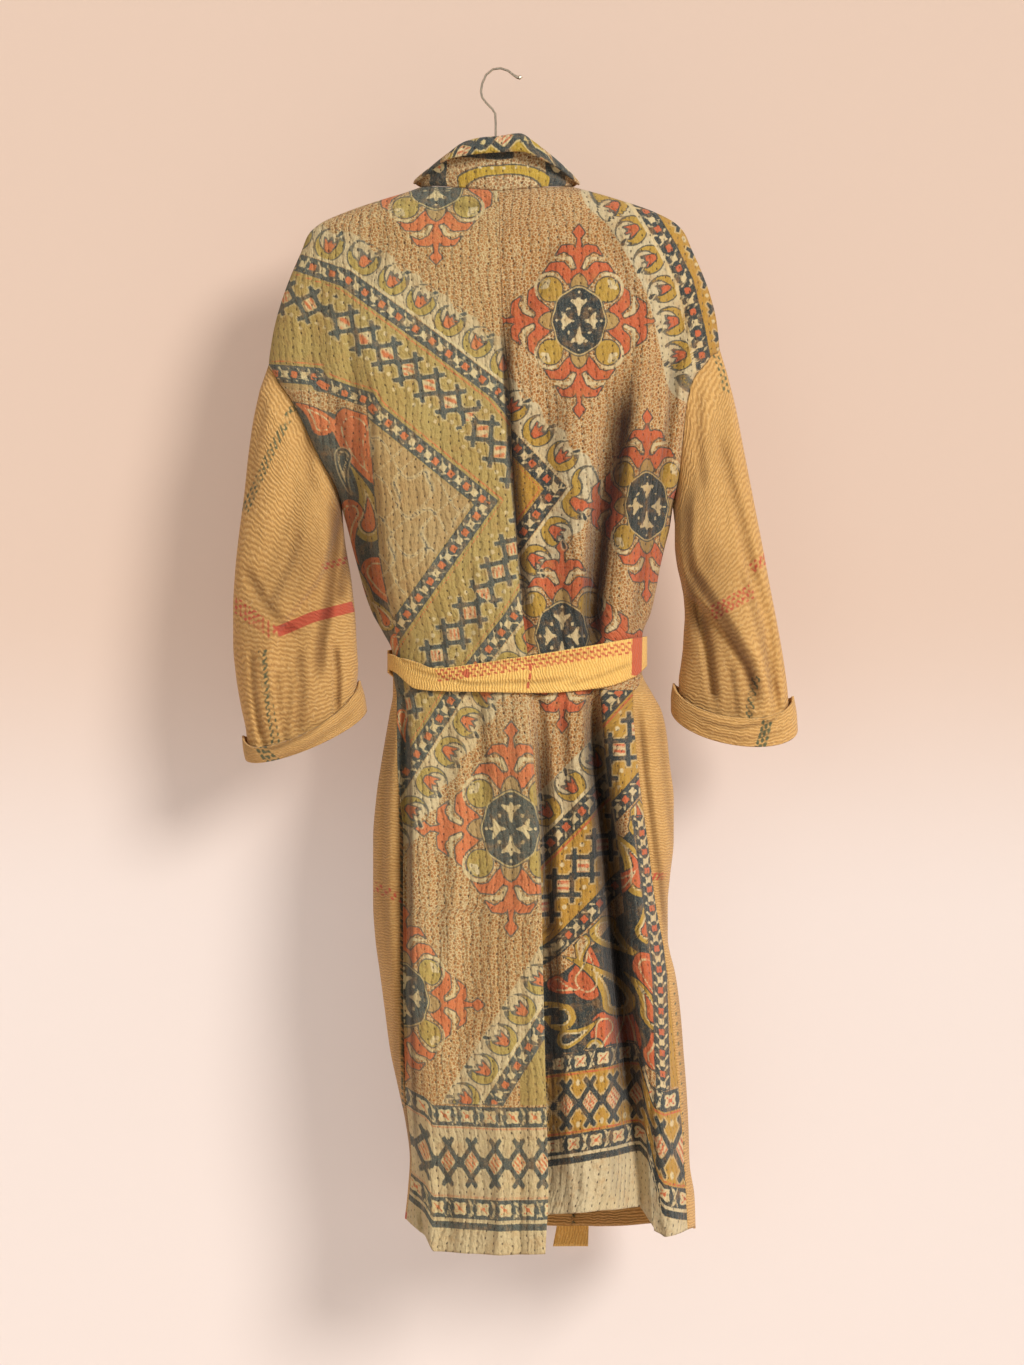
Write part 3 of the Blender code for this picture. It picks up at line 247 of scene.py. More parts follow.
# Cuffs: outer x, y, inner x, y, half depth, sag of the back, sag of the front
CUFF_LEFT = [
    (243, 758, 366, 710, 36, 17, 9), (241, 748, 364, 697, 39, 22, 9),
    (240, 736, 359, 680, 41, 28, 8),
]
CUFF_RIGHT = [
    (800, 729, 672, 710, 36, 26, 10), (799, 714, 672, 698, 39, 26, 9),
    (796, 696, 674, 683, 41, 28, 8),
]
FOLDS_SLEEVE_LEFT = {
    "fold over": [
        (440, 338, 40, 8, 0), (494, 337, 50, 9, 6), (542, 327, 55, 8, 11), (574, 317, 60, 8, 13),
        (633, 275, 60, 9, 11), (680, 262, 40, 22, 6), (712, 259, 30, 24, 3), (735, 258, 26, 24, 0)],
    "lower bulge": [
        (560, 330, 20, 20, 0), (640, 316, 30, 26, 4), (696, 305, 30, 26, 4), (728, 300, 26, 26, 0)],
    "crease": [
        (630, 332, 6, 8, 0), (660, 333, 4, 7, -5), (700, 334, 4, 7, -6), (730, 334, 5, 7, -3)],
    "upper dip": [
        (360, 292, 20, 20, 0), (440, 300, 18, 22, -4), (540, 280, 22, 22, -3),
        (600, 262, 18, 18, 0)],
}
FOLDS_SLEEVE_RIGHT = {
    "fold over": [
        (480, 676, 8, 40, 0), (521, 677, 7, 50, 6), (558, 679, 8, 55, 10), (590, 691, 9, 60, 13),
        (610, 712, 9, 55, 14), (640, 734, 9, 40, 13), (680, 756, 9, 26, 7), (700, 762, 9, 20, 3),
        (720, 768, 9, 18, 1)],
    "outer valley": [
        (480, 735, 14, 14, 0), (560, 748, 9, 13, -6), (620, 766, 8, 12, -9), (690, 775, 7, 9, -7),
        (712, 778, 7, 9, -3)],
    "crease": [
        (585, 697, 6, 8, 0), (610, 699, 5, 8, -7), (650, 705, 5, 8, -8), (695, 712, 5, 8, -5)],
    "upper dip": [
        (350, 716, 14, 16, 0), (430, 722, 18, 16, -4), (520, 728, 18, 18, -3),
        (570, 740, 14, 14, 0)],
}
# Collar at the back neck: x, top of the roll, lower edge of the fall, reach of the fall in mm
COLLAR = [
    (421, 178, 181, 7), (435, 168, 172, 9), (452, 154, 160, 11), (467, 143, 156, 13),
    (484, 139, 154, 14), (498, 138, 153, 14), (519, 135, 152, 14), (530, 142, 156, 14),
    (549, 158, 167, 12), (561, 169, 175, 9), (572, 179, 182, 7),
]
# Lapel on the fronts: row y, width in mm
LAPEL = [(200, 11), (226, 24), (255, 38), (314, 50), (360, 48), (405, 38), (450, 24), (480, 10)]

# Belt round the waist: x, upper edge y, lower edge y
BELT_BACK = [
    (380, 651, 667), (392, 655, 671), (416, 663, 689), (435, 668, 691), (481, 663, 692),
    (540, 654, 693), (600, 644, 688), (635, 638, 677), (650, 636, 664),
]
BELT_FRONT = [
    (380, 651, 667), (400, 648, 682), (450, 642, 688), (590, 640, 688), (630, 637, 680),
    (650, 636, 664),
]
# Hanging ends: y, left x, right x, depth in mm in front of the front
TAIL_LONG = [
    (675.9, 549, 566, 13.4), (692, 546, 571, 14), (712, 545, 575, 11), (760, 545, 581, 9),
    (900, 549, 588, 9), (1060, 553, 592, 9), (1170, 556, 593, 9), (1226, 559, 591, 9),
    (1260, 554, 590, 9),
]
TAIL_SHORT = [
    (675.9, 536, 553, 10.2), (692, 524, 550, 10.6), (712, 516, 548, 7.6), (760, 508, 545, 6),
    (860, 502, 540, 7), (960, 500, 538, 7),
]
KNOT_X, TAIL_X = 551.0, 545.0  # middle of the knot and of the hanging ends

SIDES = {-1: SIDE_LEFT, 1: SIDE_RIGHT}
TRACKS = {-1: TRACKS_LEFT, 1: TRACKS_RIGHT}
HEMS = {-1: HEM_BACK_LEFT, 1: HEM_BACK_RIGHT}


def at(table, y, column):
    """Smooth value of one column of a table at y."""
    rows = np.array([(row[0], row[column]) for row in table], float)
    xs, vs = rows[:, 0], rows[:, 1]
    steps = np.diff(vs) / np.diff(xs)
    slopes = np.zeros(len(vs))
    inner = steps[:-1] * steps[1:] > 0
    slopes[1:-1][inner] = 2 * steps[:-1][inner] * steps[1:][inner] / (steps[:-1] + steps[1:])[inner]
    slopes[0], slopes[-1] = steps[0], steps[-1]
    y = np.clip(np.asarray(y, float), xs[0], xs[-1])
    k = np.clip(np.searchsorted(xs, y, side="right") - 1, 0, len(xs) - 2)
    gap = xs[k + 1] - xs[k]
    t = (y - xs[k]) / gap
    first = (1 + 2 * t) * (1 - t) ** 2 * vs[k] + t * (1 - t) ** 2 * gap * slopes[k]
    return first + t * t * (3 - 2 * t) * vs[k + 1] + t * t * (t - 1) * gap * slopes[k + 1]


def share(value, start, run):
    """0 up to start, then rising to 1 over the run."""
    return np.clip((value - start) / run, 0, 1)


def eased(t):
    """A share made soft at both ends."""
    return t * t * (3 - 2 * t)


def outward(x, row, half):
    """Share of the way from the centre back to the side seam."""
    centre = at(TRACKS_LEFT, row, 1)
    return np.clip(np.abs((x - centre) / (at(SIDES[half], row, 1) - centre)), 0, 1)


def angles(count):
    """Even steps round a tube."""
    return 2 * math.pi * np.arange(count)[None, :] / count


def folds(table, x, y):
    """Sum of the soft folds of a table, in mm."""
    total = np.zeros(np.broadcast(x, y).shape)
    for rows in table.values():
        off = x - at(rows, y, 1)
        reach = np.where(off < 0, at(rows, y, 2), at(rows, y, 3))
        part = np.clip(np.abs(off) / reach, 0, 1)
        live = (y >= rows[0][0]) & (y <= rows[-1][0])
        total = total + live * at(rows, y, 4) * 0.5 * (1 + np.cos(math.pi * part))
    return total


def cinch(y):
    """How much of a fold is left near the belt."""
    return 1 - 0.85 * np.exp(-(((y - WAIST_Y) / CINCH_REACH) ** 2))


def depth(x, row, half, face):
    """Depth in mm of the body at x, in the row with this y at the centre; face is 1 at the back."""
    t = outward(x, row, half)
    rim = at(SIDES[half], row, 3)
    full = at(DEPTH, row, 1 if face > 0 else 2)
    round_off = at(DEPTH, row, 3)
    base = rim + (full - rim) * (1 - t ** 2.2) ** round_off
    table = FOLDS_BACK if face > 0 else FOLDS_FRONT
    return face * (base + folds(table, x, row) * eased(share(1 - t, 0, 0.12)) * cinch(row))


def space(x, y, deep):
    """Table units and mm to metres."""
    x, y, deep = np.broadcast_arrays(x, y, deep)
    return np.stack([(ZERO_X - x) * UNIT, deep * MM, (ZERO_Y - y) * UNIT], axis=-1)


def height(x, row, half, hem):
    """Table y of a point: rows tilt to the shoulder above and follow the hem below."""
    y = row + (at(SIDES[half], row, 2) - row) * outward(x, row, half)
    hems = np.array(hem, float)
    low = share(row, VENT_Y, LAST_Y - VENT_Y)
    return y + low * (np.interp(x, hems[:, 0], hems[:, 1]) - LAST_Y)


# Smaller soft folds that only the looks carry: row y, x, reach left, reach right, height in mm
FINE_BACK = {
    "hang one": [
        (700, 440, 9, 14, 0), (800, 438, 8, 14, -2.2), (1000, 434, 9, 16, -3.0),
        (1240, 440, 10, 16, -3.4)],
    "hang two": [
        (760, 492, 12, 9, 0), (900, 492, 12, 9, 2.0), (1100, 494, 14, 10, 2.6),
        (1240, 500, 14, 10, 3.0)],
    "hang three": [(900, 520, 8, 8, 0), (1050, 522, 8, 8, -1.6), (1240, 520, 9, 9, -2.4)],
    "hem wave one": [(1150, 458, 10, 10, 0), (1240, 462, 12, 12, 3.0)],
    "hem wave two": [(1140, 580, 12, 10, 0), (1240, 584, 14, 12, 3.4)],
    "hem wave three": [(1120, 562, 7, 7, 0), (1240, 566, 8, 8, -2.6)],
    "blade left": [
        (300, 428, 18, 16, 0), (400, 420, 16, 18, 1.6), (560, 430, 16, 16, 1.4),
        (640, 440, 12, 12, 0)],
    "blade right": [
        (330, 540, 12, 10, 0), (430, 544, 10, 10, -1.6), (560, 546, 9, 9, -2.2),
        (640, 548, 8, 8, -1)],
    "waist one": [
        (560, 470, 7, 8, 0), (620, 474, 6, 7, -2.0), (650, 476, 5, 6, -3.0),
        (700, 478, 6, 8, -2.4), (770, 480, 8, 8, 0)],
    "waist two": [
        (580, 434, 6, 7, 0), (630, 440, 5, 6, -1.8), (690, 446, 5, 6, -2.4), (750, 446, 7, 7, 0)],
    "waist three": [
        (600, 500, 6, 5, 0), (640, 503, 5, 5, 1.8), (700, 506, 6, 5, 1.5), (760, 507, 7, 6, 0)],
    "waist four": [
        (590, 562, 6, 6, 0), (640, 561, 5, 5, -2.0), (700, 563, 6, 6, -2.2), (780, 566, 7, 7, 0)],
    "armpit left": [(455, 366, 8, 14, 0), (500, 372, 7, 16, -1.8), (560, 378, 7, 12, 0)],
    "shoulder blade": [(250, 400, 26, 26, 0), (300, 410, 26, 26, -1.6), (350, 420, 24, 24, 0)],
}


def fine(values, step):
    """Row values filled in to about the given step."""
    out = []
    for a, b in zip(values, values[1:]):
        count = max(1, round((b - a) / step))
        out += [a + (b - a) * k / count for k in range(count)]
    return np.array(out + [values[-1]], float)


def ripple(x, y, size):
    """Slight unevenness of hand-stitched cloth, in mm."""
    broad = np.sin(x * 0.071 + 1.3 * np.sin(y * 0.013))
    broad = broad * np.sin(y * 0.031 + 0.9 * np.sin(x * 0.024))
    return size * (broad + 0.5 * np.sin(x * 0.153 + y * 0.041) * np.sin(y * 0.087 - x * 0.03))


def back_grid(half):
    """Points of a back half, and the x and y that its print is drawn at."""
    counts = (5, 29, 30, 10, 28) if half < 0 else (5, 16, 16, 14, 14, 9, 26)
    rows = fine(ROWS, BACK_STEP)[:, None]
    lines = [at(TRACKS[half], rows, k + 1) for k in range(len(counts) + 1)]
    lines[0] = at(TRACKS_LEFT, rows, 1)
    seam = share(rows, SEAM_Y, SEAM_RUN)
    lines[-1] = at(SIDES[half], rows, 1) * (1 - seam) + lines[-1] * seam
    cols = [lines[0]]
    for k, count in enumerate(counts):
        for step in range(1, count + 1):
            s = step / count
            if k == len(counts) - 1:
                s = s * seam + math.sin(s * math.pi / 2) * (1 - seam)
            cols.append(lines[k] + (lines[k + 1] - lines[k]) * s)
    x = np.concatenate([c + 0 * rows for c in cols], axis=1)
    row = rows + 0 * x
    fade = share(1 - outward(x, row, half), 0, 0.15) * share(row, 195, 40)
    small = folds(FINE_BACK, x, row) + ripple(x, row, 0.55)
    deep = depth(x, row, half, 1) + small * fade * (0.4 + 0.6 * cinch(row))
    # The left half's vent edge lies a little lower, the right half's runs on under it
    first = counts[0]
    s = np.arange(first + 1)[None, :] / first
    if half < 0:
        live = share(rows, VENT_Y, 12.0)
        up = deep[:, first:first + 1] - (1 - s) * 1.0
        deep[:, :first + 1] += (up - deep[:, :first + 1]) * live
    else:
        live = share(rows, VENT_Y + 20, 20.0)
        x[:, :first + 1] -= 26 * (1 - s) * live
        deep[:, :first + 1] -= 5 * (1 - s) * live
    y = height(x, row, half, HEMS[half])
    level = 1250.0 if half < 0 else 1208.0
    low = share(row, VENT_Y, LAST_Y - VENT_Y)
    place = np.where(row > VENT_Y, row + (level - LAST_Y) * low, y)
    return space(x, y, deep), x, place


def front_grid(half):
    """Points of a front, its x and y, and where it still lies on the back of the coat."""
    rows = fine(ROWS, FRONT_STEP)[:, None]
    centre = at(TRACKS_LEFT, rows, 1)
    side = at(SIDES[half], rows, 1)
    wide = np.abs(side - centre)
    part = share(rows, SEAM_Y, SEAM_RUN)
    x0 = side * (1 - part) + at(TRACKS[half], rows, 6 if half < 0 else 8) * part
    start = np.arcsin(np.clip(np.abs((x0 - centre) / wide), 0, 1))
    opening = at(FRONT_EDGE, rows, 1 if half < 0 else 2)
    stop = math.pi - np.arcsin(np.clip((opening - centre) * half / wide, -1, 1))
    angle = start + (stop - start) * np.arange(FRONT_COLUMNS + 1)[None, :] / FRONT_COLUMNS
    x = centre + half * wide * np.sin(angle)
    row = rows + 0 * x
    back = angle < math.pi / 2 - 1e-6
    same = (x - centre) * half >= 0
    deep = np.where(back, depth(x, row, half, 1),
                    np.where(same, depth(x, row, half, -1), depth(x, row, -half, -1)))
    if half < 0:
        under = share(x, centre - 125, 33.0) * share(row, 400, 90.0)
        deep = deep + np.where(back, 0, LAP * eased(under))
    calm = np.clip(np.abs(np.cos(angle)) * 3, 0, 1) * share(row, 210, 60)
    deep = deep + ripple(x + 40, row, 0.4) * calm * cinch(row)
    y_front = np.where(same, height(x, row, half, HEM_FRONT), height(x, row, -half, HEM_FRONT))
    y = np.where(back, height(x, row, half, HEMS[half]), y_front)
    return space(x, y, deep), x, y, back


def ring_at(rings, r, turn):
    """Points of a tube: r counts rings, turn runs from the outer edge down the back."""
    table = [(k, *ring) for k, ring in enumerate(rings)]
    x0, y0, x1, y1, deep, sag_b, sag_f = (at(table, r, k) for k in range(1, 8))
    s = (1 - np.cos(turn)) / 2
    bend = np.sin(turn)
    sag = np.where(bend > 0, sag_b, sag_f)
    x = x0 + (x1 - x0) * s
    y = y0 + (y1 - y0) * s + sag * np.abs(bend)
    return x, y, np.sign(bend) * np.abs(bend) ** 0.85 * deep, bend


FINE_SLEEVE_LEFT = {
    "elbow one": [(560, 300, 14, 10, 0), (600, 292, 12, 9, -1.6), (640, 284, 10, 9, 0)],
    "low one": [
        (650, 290, 8, 8, 0), (690, 288, 7, 8, -2.2), (730, 284, 7, 8, -2.6), (755, 280, 7, 8, 0)],
    "low two": [(655, 352, 5, 4, 0), (685, 352, 5, 4, 1.6), (715, 352, 5, 4, 0)],
    "hem pinch": [
        (690, 250, 6, 6, 0), (725, 256, 5, 6, -3.2), (745, 262, 6, 6, -4.0), (757, 264, 6, 6, -3)],
    "top sweep": [(380, 262, 10, 14, 0), (440, 268, 12, 14, 1.6), (520, 262, 12, 14, 0)],
}
FINE_SLEEVE_RIGHT = {
    "elbow one": [(520, 700, 8, 12, 0), (560, 704, 8, 12, -1.8), (600, 726, 8, 12, 0)],
    "low one": [
        (640, 722, 8, 8, 0), (680, 728, 8, 8, -2.0), (722, 730, 8, 8, -2.4), (745, 730, 8, 8, 0)],
    "hem pinch": [(680, 776, 6, 6, 0), (715, 778, 6, 6, -3.0), (735, 780, 6, 6, -3.6)],
    "cap": [(355, 726, 6, 10, 0), (420, 734, 8, 10, 1.4), (500, 742, 8, 10, 0)],
}


def sleeve_grid(half):
    """Points of a sleeve, its x and y, and how far each is round the back (1) or the front (-1)."""
    side = SIDES[half]
    rings, table, small = (
        (SLEEVE_LEFT, FOLDS_SLEEVE_LEFT, FINE_SLEEVE_LEFT) if half < 0
        else (SLEEVE_RIGHT, FOLDS_SLEEVE_RIGHT, FINE_SLEEVE_RIGHT)
    )
    turn = angles(130)
    r = np.linspace(-1, len(rings) - 1, 150)[:, None]
    x, y, deep, bend = ring_at(rings, np.maximum(r, 0), turn)
    # The first ring is the armhole itself
    hole = np.where(turn <= math.pi, turn, 2 * math.pi - turn) / math.pi * (ARM_COUNT - 1)
    row = at([(k, ROWS[ARM_FIRST + k]) for k in range(ARM_COUNT)], hole, 1)
    hd = at(side, row, 3) * np.where(turn <= math.pi, 1, -1)
    w = np.clip(r + 1, 0, 1)
    x, y = at(side, row, 1) * (1 - w) + x * w, at(side, row, 2) * (1 - w) + y * w
    deep = hd * (1 - w) + deep * w
    extra = folds(table, x, y) + folds(small, x, y) + ripple(x, y, 0.5)
    mirrored = folds(small, x + 8, y - 14) + ripple(x + 30, y, 0.6)
    live = np.clip((r + 1) * 1.5, 0, 1)
    deep = deep + extra * np.clip(bend * 2, 0, 1) * live
    deep = deep - mirrored * np.clip(-bend * 2, 0, 1) * live
    return space(x, y, deep), x + 0 * y, y + 0 * x, bend + 0 * y


def cuff_grid(half):
    """Points of a turned-up cuff, as for a sleeve."""
    rings = CUFF_LEFT if half < 0 else CUFF_RIGHT
    r = np.linspace(0, len(rings) - 1, 16)[:, None]
    x, y, deep, bend = ring_at(rings, r, angles(150))
    deep = deep + np.sign(bend) * (ripple(x * 1.4, y, 0.5) + 0.5 * np.sin(r * math.pi / 2))
    return space(x, y, deep), x + 0 * r, y, bend + 0 * y


def smooth_line(points, count):
    """Points read evenly from a smooth line through the given ones."""
    p = np.array(points)
    gaps = np.linalg.norm(np.diff(p, axis=0), axis=1)
    s = np.concatenate([[0], np.cumsum(gaps)])
    t = np.linspace(0, s[-1], count)
    return np.stack([at(list(zip(s, p[:, k])), t, 1) for k in range(3)], axis=-1)


def neck_section(point, half):
    """Section of the collar at a point of the back neck: stand, roll and fall."""
    x = ZERO_X - point[0] / UNIT
    y = ZERO_Y - point[2] / UNIT
    top = (y - float(at(COLLAR, x, 1))) * UNIT
    low = (y - float(at(COLLAR, x, 2))) * UNIT
    reach = float(at(COLLAR, x, 3)) * MM
    s = min(1.0, abs(x - ZERO_X) / (77.0 if half < 0 else 74.0))
    turn = (s ** 2.0) * math.pi / 2
    out = np.array([-half * math.sin(turn), math.cos(turn), 0.0])
    up = np.array([0.0, 0.0, 1.0])
    shape = [
        (0.0, 0.0), (0.0025, 0.28 * top), (0.0012, 0.58 * top),
        (0.0004, top - 0.30 * min(top, 0.012)), (0.0020, top - 0.0004), (0.0058, top),
        (0.3 * 0.0058 + 0.7 * reach, top - 0.45 * (top - low)), (reach, low),
    ]
    if top < 0.02:
        t = top / 0.02
        shape = [(a if k > 4 else a * t, b) for k, (a, b) in enumerate(shape)]
    return [point + out * a + up * (b + STAND_GAP) for a, b in shape]


def corner_section(point, s, half):
    """Section of the collar over the shoulder, between neck and lapel."""
    turn = (0.15 + 0.65 * s) * math.pi / 2
    out = np.array([-half, 0.0, 0.0])
    up = np.array([0.0, -math.sin(turn), math.cos(turn)])
    top = 0.0040 + 0.0012 * (1 - s)
    reach = 0.0065 + 0.003 * s
    shape = [
        (0.0, 0.0), (0.0003, 0.3 * top), (0.0004, 0.6 * top), (0.0004, 0.85 * top), (0.0016, top),
        (0.0036, top + 0.0004), (0.5 * (0.0036 + reach), top - 0.0003), (reach, top - 0.0012),
    ]
    return [point + out * a + up * (b + STAND_GAP) for a, b in shape]


def lapel_section(point, row, part, half):
    """Section of the lapel folded back on the front, from its roll to its edge."""
    x = ZERO_X - point[0] / UNIT
    y = ZERO_Y - point[2] / UNIT
    wide = float(at(LAPEL, row, 1)) / UNIT_MM
    lift = [0.0, 2.0, 4.0, 5.0, 4.6, 3.2, 2.2, 1.2]
    reach = [0.0, -0.010, 0.0, 0.05, 0.15, 0.40, 0.72, 1.0]
    blend = min(1.0, part / 3.0)
    base = -point[1] * 1000
    wide = min(wide, abs(float(at(SIDES[half], row, 1)) - x) * 0.92)
    points = []
    for a, b in zip(reach, lift):
        xx = x + half * wide * a
        deep = -float(depth(np.array(xx), np.array(float(row)), half, -1))
        rise = (1 - blend) * 4.0 * min(1.0, b / 3.0)
        points.append(space(xx, y - rise, -(max(deep, 0.0) if a > 0 else base) - b))
    points[0] = point - np.array([0.0, STAND_GAP, 0.0])
    return points


def collar_grid():
    """The whole strip from the left lapel's point round the neck to the right one."""
    edges = {half: front_grid(half)[0] for half in SIDES}
    rows = fine(ROWS, FRONT_STEP)
    last = ROWS[LAPEL_ROWS - 1]
    picks = [k for k in range(1, len(rows)) if rows[k] <= last and k % 2 == 0]
    corners = range(6, FRONT_COLUMNS + 1, 6)

    def lapel(k, half):
        part = float(np.interp(rows[k], ROWS, range(len(ROWS))))
        return lapel_section(edges[half][k, -1], float(rows[k]), part, half)

    def corner(k, half):
        return corner_section(edges[half][0, k], k / FRONT_COLUMNS, half)

    grid = [lapel(k, -1) for k in reversed(picks)]
    grid += [corner(k, -1) for k in reversed(corners)]
    grid += [neck_section(p, -1) for p in back_grid(-1)[0][0, ::-3]]
    grid += [neck_section(p, 1) for p in back_grid(1)[0][0, 3::3]]
    grid += [corner(k, 1) for k in corners]
    grid += [lapel(k, 1) for k in picks]
    return np.array([smooth_line(section, COLLAR_COLUMNS) for section in grid])


def belt_grid():
    """Points of the belt's loop, its x and y, and where it lies on the back."""
    turn = angles(330)
    level = np.linspace(0, 1, 22)[:, None]
    sin, cos = np.sin(turn), np.cos(turn)
    wide_l, wide_r = (
        abs(float(at(SIDES[half], BELT_ROW, 1)) - BELT_X) + BELT_LIFT / UNIT_MM for half in SIDES)
    x = BELT_X - np.where(sin > 0, wide_l, wide_r) * sin + 0 * level
    back = cos > 0
    top = np.where(back, at(BELT_BACK, x, 1), at(BELT_FRONT, x, 1))
    low = np.where(back, at(BELT_BACK, x, 2), at(BELT_FRONT, x, 2))
    y = top + (low - top) * level
    full = np.where(back, 62.0, 58.0) + BELT_LIFT + 0.8 * np.sin(level * math.pi)
    flat = np.sqrt(np.maximum(0, 1 - np.abs(sin) ** 2.2))
    crease = at([(380, 0.16), (436, 0.30), (523, 0.72), (600, 0.86), (660, 0.9)], x, 1)
    fade = np.clip((600 - x) / 80, 0, 1)
    groove = -1.3 * np.exp(-(((level - crease) / 0.055) ** 2)) * fade
    roll = 0.8 * np.exp(-(((level - crease - 0.16) / 0.12) ** 2)) * fade
    wave = 0.5 * np.sin(x * 0.09 + level * 3) + 0.35 * np.sin(x * 0.21 - level * 2)
    push = np.where(back, groove + roll, 0) + wave * np.sin(level * math.pi) * np.abs(cos)
    return space(x, y, np.sign(cos) * (full + push * 0.7) * flat), x, y, back + 0 * x > 0


def knot_grid(box):
    """A wrapped knot that fills the box of the part's knot, and the painted shade between its
    turns.
    """
    low, high = box.min(axis=0), box.max(axis=0)
    middle, half = (low + high) / 2, (high - low) / 2 * 0.97
    turn = angles(56)
    up = np.linspace(0.008, math.pi - 0.008, 34)[:, None]
    wrap = np.abs(np.sin(1.5 * turn + 2.2 * up))
    size = 0.86 + 0.14 * wrap ** 0.6
    ring = np.sin(up) ** 0.7 * size
    round_it = (ring * np.cos(turn), ring * np.sin(turn), np.cos(up) + 0 * turn)
    points = np.stack([middle[k] + half[k] * round_it[k] for k in range(3)], axis=-1)
    # The darkness between the turns is painted shade
    return points, np.clip(0.5 - wrap, 0, 1) * 1.2


def tail_grid(table):
    """Points of a hanging end of the belt, close in front of the coat's front."""
    first, last = table[0][0], table[-1][0]
    ys = np.linspace(first, last, max(40, int((last - first) / 3)))[:, None]
    s = np.linspace(0, 1, 16)[None, :]
    x = at(table, ys, 1) + (at(table, ys, 2) - at(table, ys, 1)) * s
    row = np.minimum(ys, LAST_Y) + 0 * x
    left = x < at(TRACKS_LEFT, row, 1)
    deep = -np.where(left, depth(x, row, -1, -1), depth(x, row, 1, -1))
    deep = np.maximum(deep, -depth(550.0 + 0 * x, row, 1, -1) - 1.0)
    wave = 0.8 * np.sin(s * math.pi) + 0.5 * np.sin(ys * 0.05) * np.sin(s * 7)
    return space(x, ys, -(deep + at(table, ys, 3) + wave))


# The print is drawn as distances in table units, negative inside a shape
def path_of(points, x, y):
    """Signed distance to a line of points, positive on its right, and the length along it."""
    best = np.full(x.shape, 1e9)
    signed = np.zeros(x.shape)
    along = np.zeros(x.shape)
    run = 0.0
    for (ax, ay), (bx, by) in zip(points, points[1:]):
        dx, dy = bx - ax, by - ay
        size = math.hypot(dx, dy)
        t = np.clip(((x - ax) * dx + (y - ay) * dy) / size ** 2, 0, 1)
        off = np.hypot(x - ax - t * dx, y - ay - t * dy)
        side = ((x - ax) * dy - (y - ay) * dx) / size
        near = off < best
        best = np.where(near, off, best)
        signed = np.where(near, np.where(side >= 0, off, -off), signed)
        along = np.where(near, run + t * size, along)
        run += size
    return signed, along


def line_length(line):
    return sum(math.dist(a, b) for a, b in zip(line, line[1:]))


def spun(x, y, angle):
    """Coordinates turned by an angle."""
    c, s = math.cos(angle), math.sin(angle)
    return x * c + y * s, -x * s + y * c


def capsule(x, y, ax, ay, bx, by, ra, rb):
    """Distance to a stroke whose radius runs from ra to rb."""
    dx, dy = bx - ax, by - ay
    t = np.clip(((x - ax) * dx + (y - ay) * dy) / (dx * dx + dy * dy), 0, 1)
    return np.hypot(x - ax - t * dx, y - ay - t * dy) - (ra + (rb - ra) * t)


# Strokes of the palmettes and roundels: x, y, x, y, radius at each end
PALMETTE = [
    (0, 38, 0, 66, 11.0, 4.5), (0, 66, 0, 86, 5.0, 2.0), (9, 44, 19, 56, 6.5, 6.0),
    (19, 56, 29, 57, 6.0, 4.2), (29, 57, 39, 50, 4.2, 0.4), (3, 66, 9, 75, 5.0, 5.2),
    (9, 75, 17, 76, 5.2, 3.4), (17, 76, 26, 68, 3.4, 0.4),
]
PALMETTE_SLIT = [(5.5, 56, 10, 65.5, 1.6, 1.9), (10, 65.5, 27, 66, 1.9, 1.0)]
ROUNDEL = [(2, 9, 4, 2, 2.2, 1.6), (9, 2, 3, 3, 2.2, 1.6)]


def strokes(x, y, table):
    """Distance to the nearest of several strokes."""
    return np.minimum.reduce([capsule(x, y, *row) for row in table])


def nothing(x):
    """A layer with nothing drawn on it."""
    return np.full(x.shape, FAR)


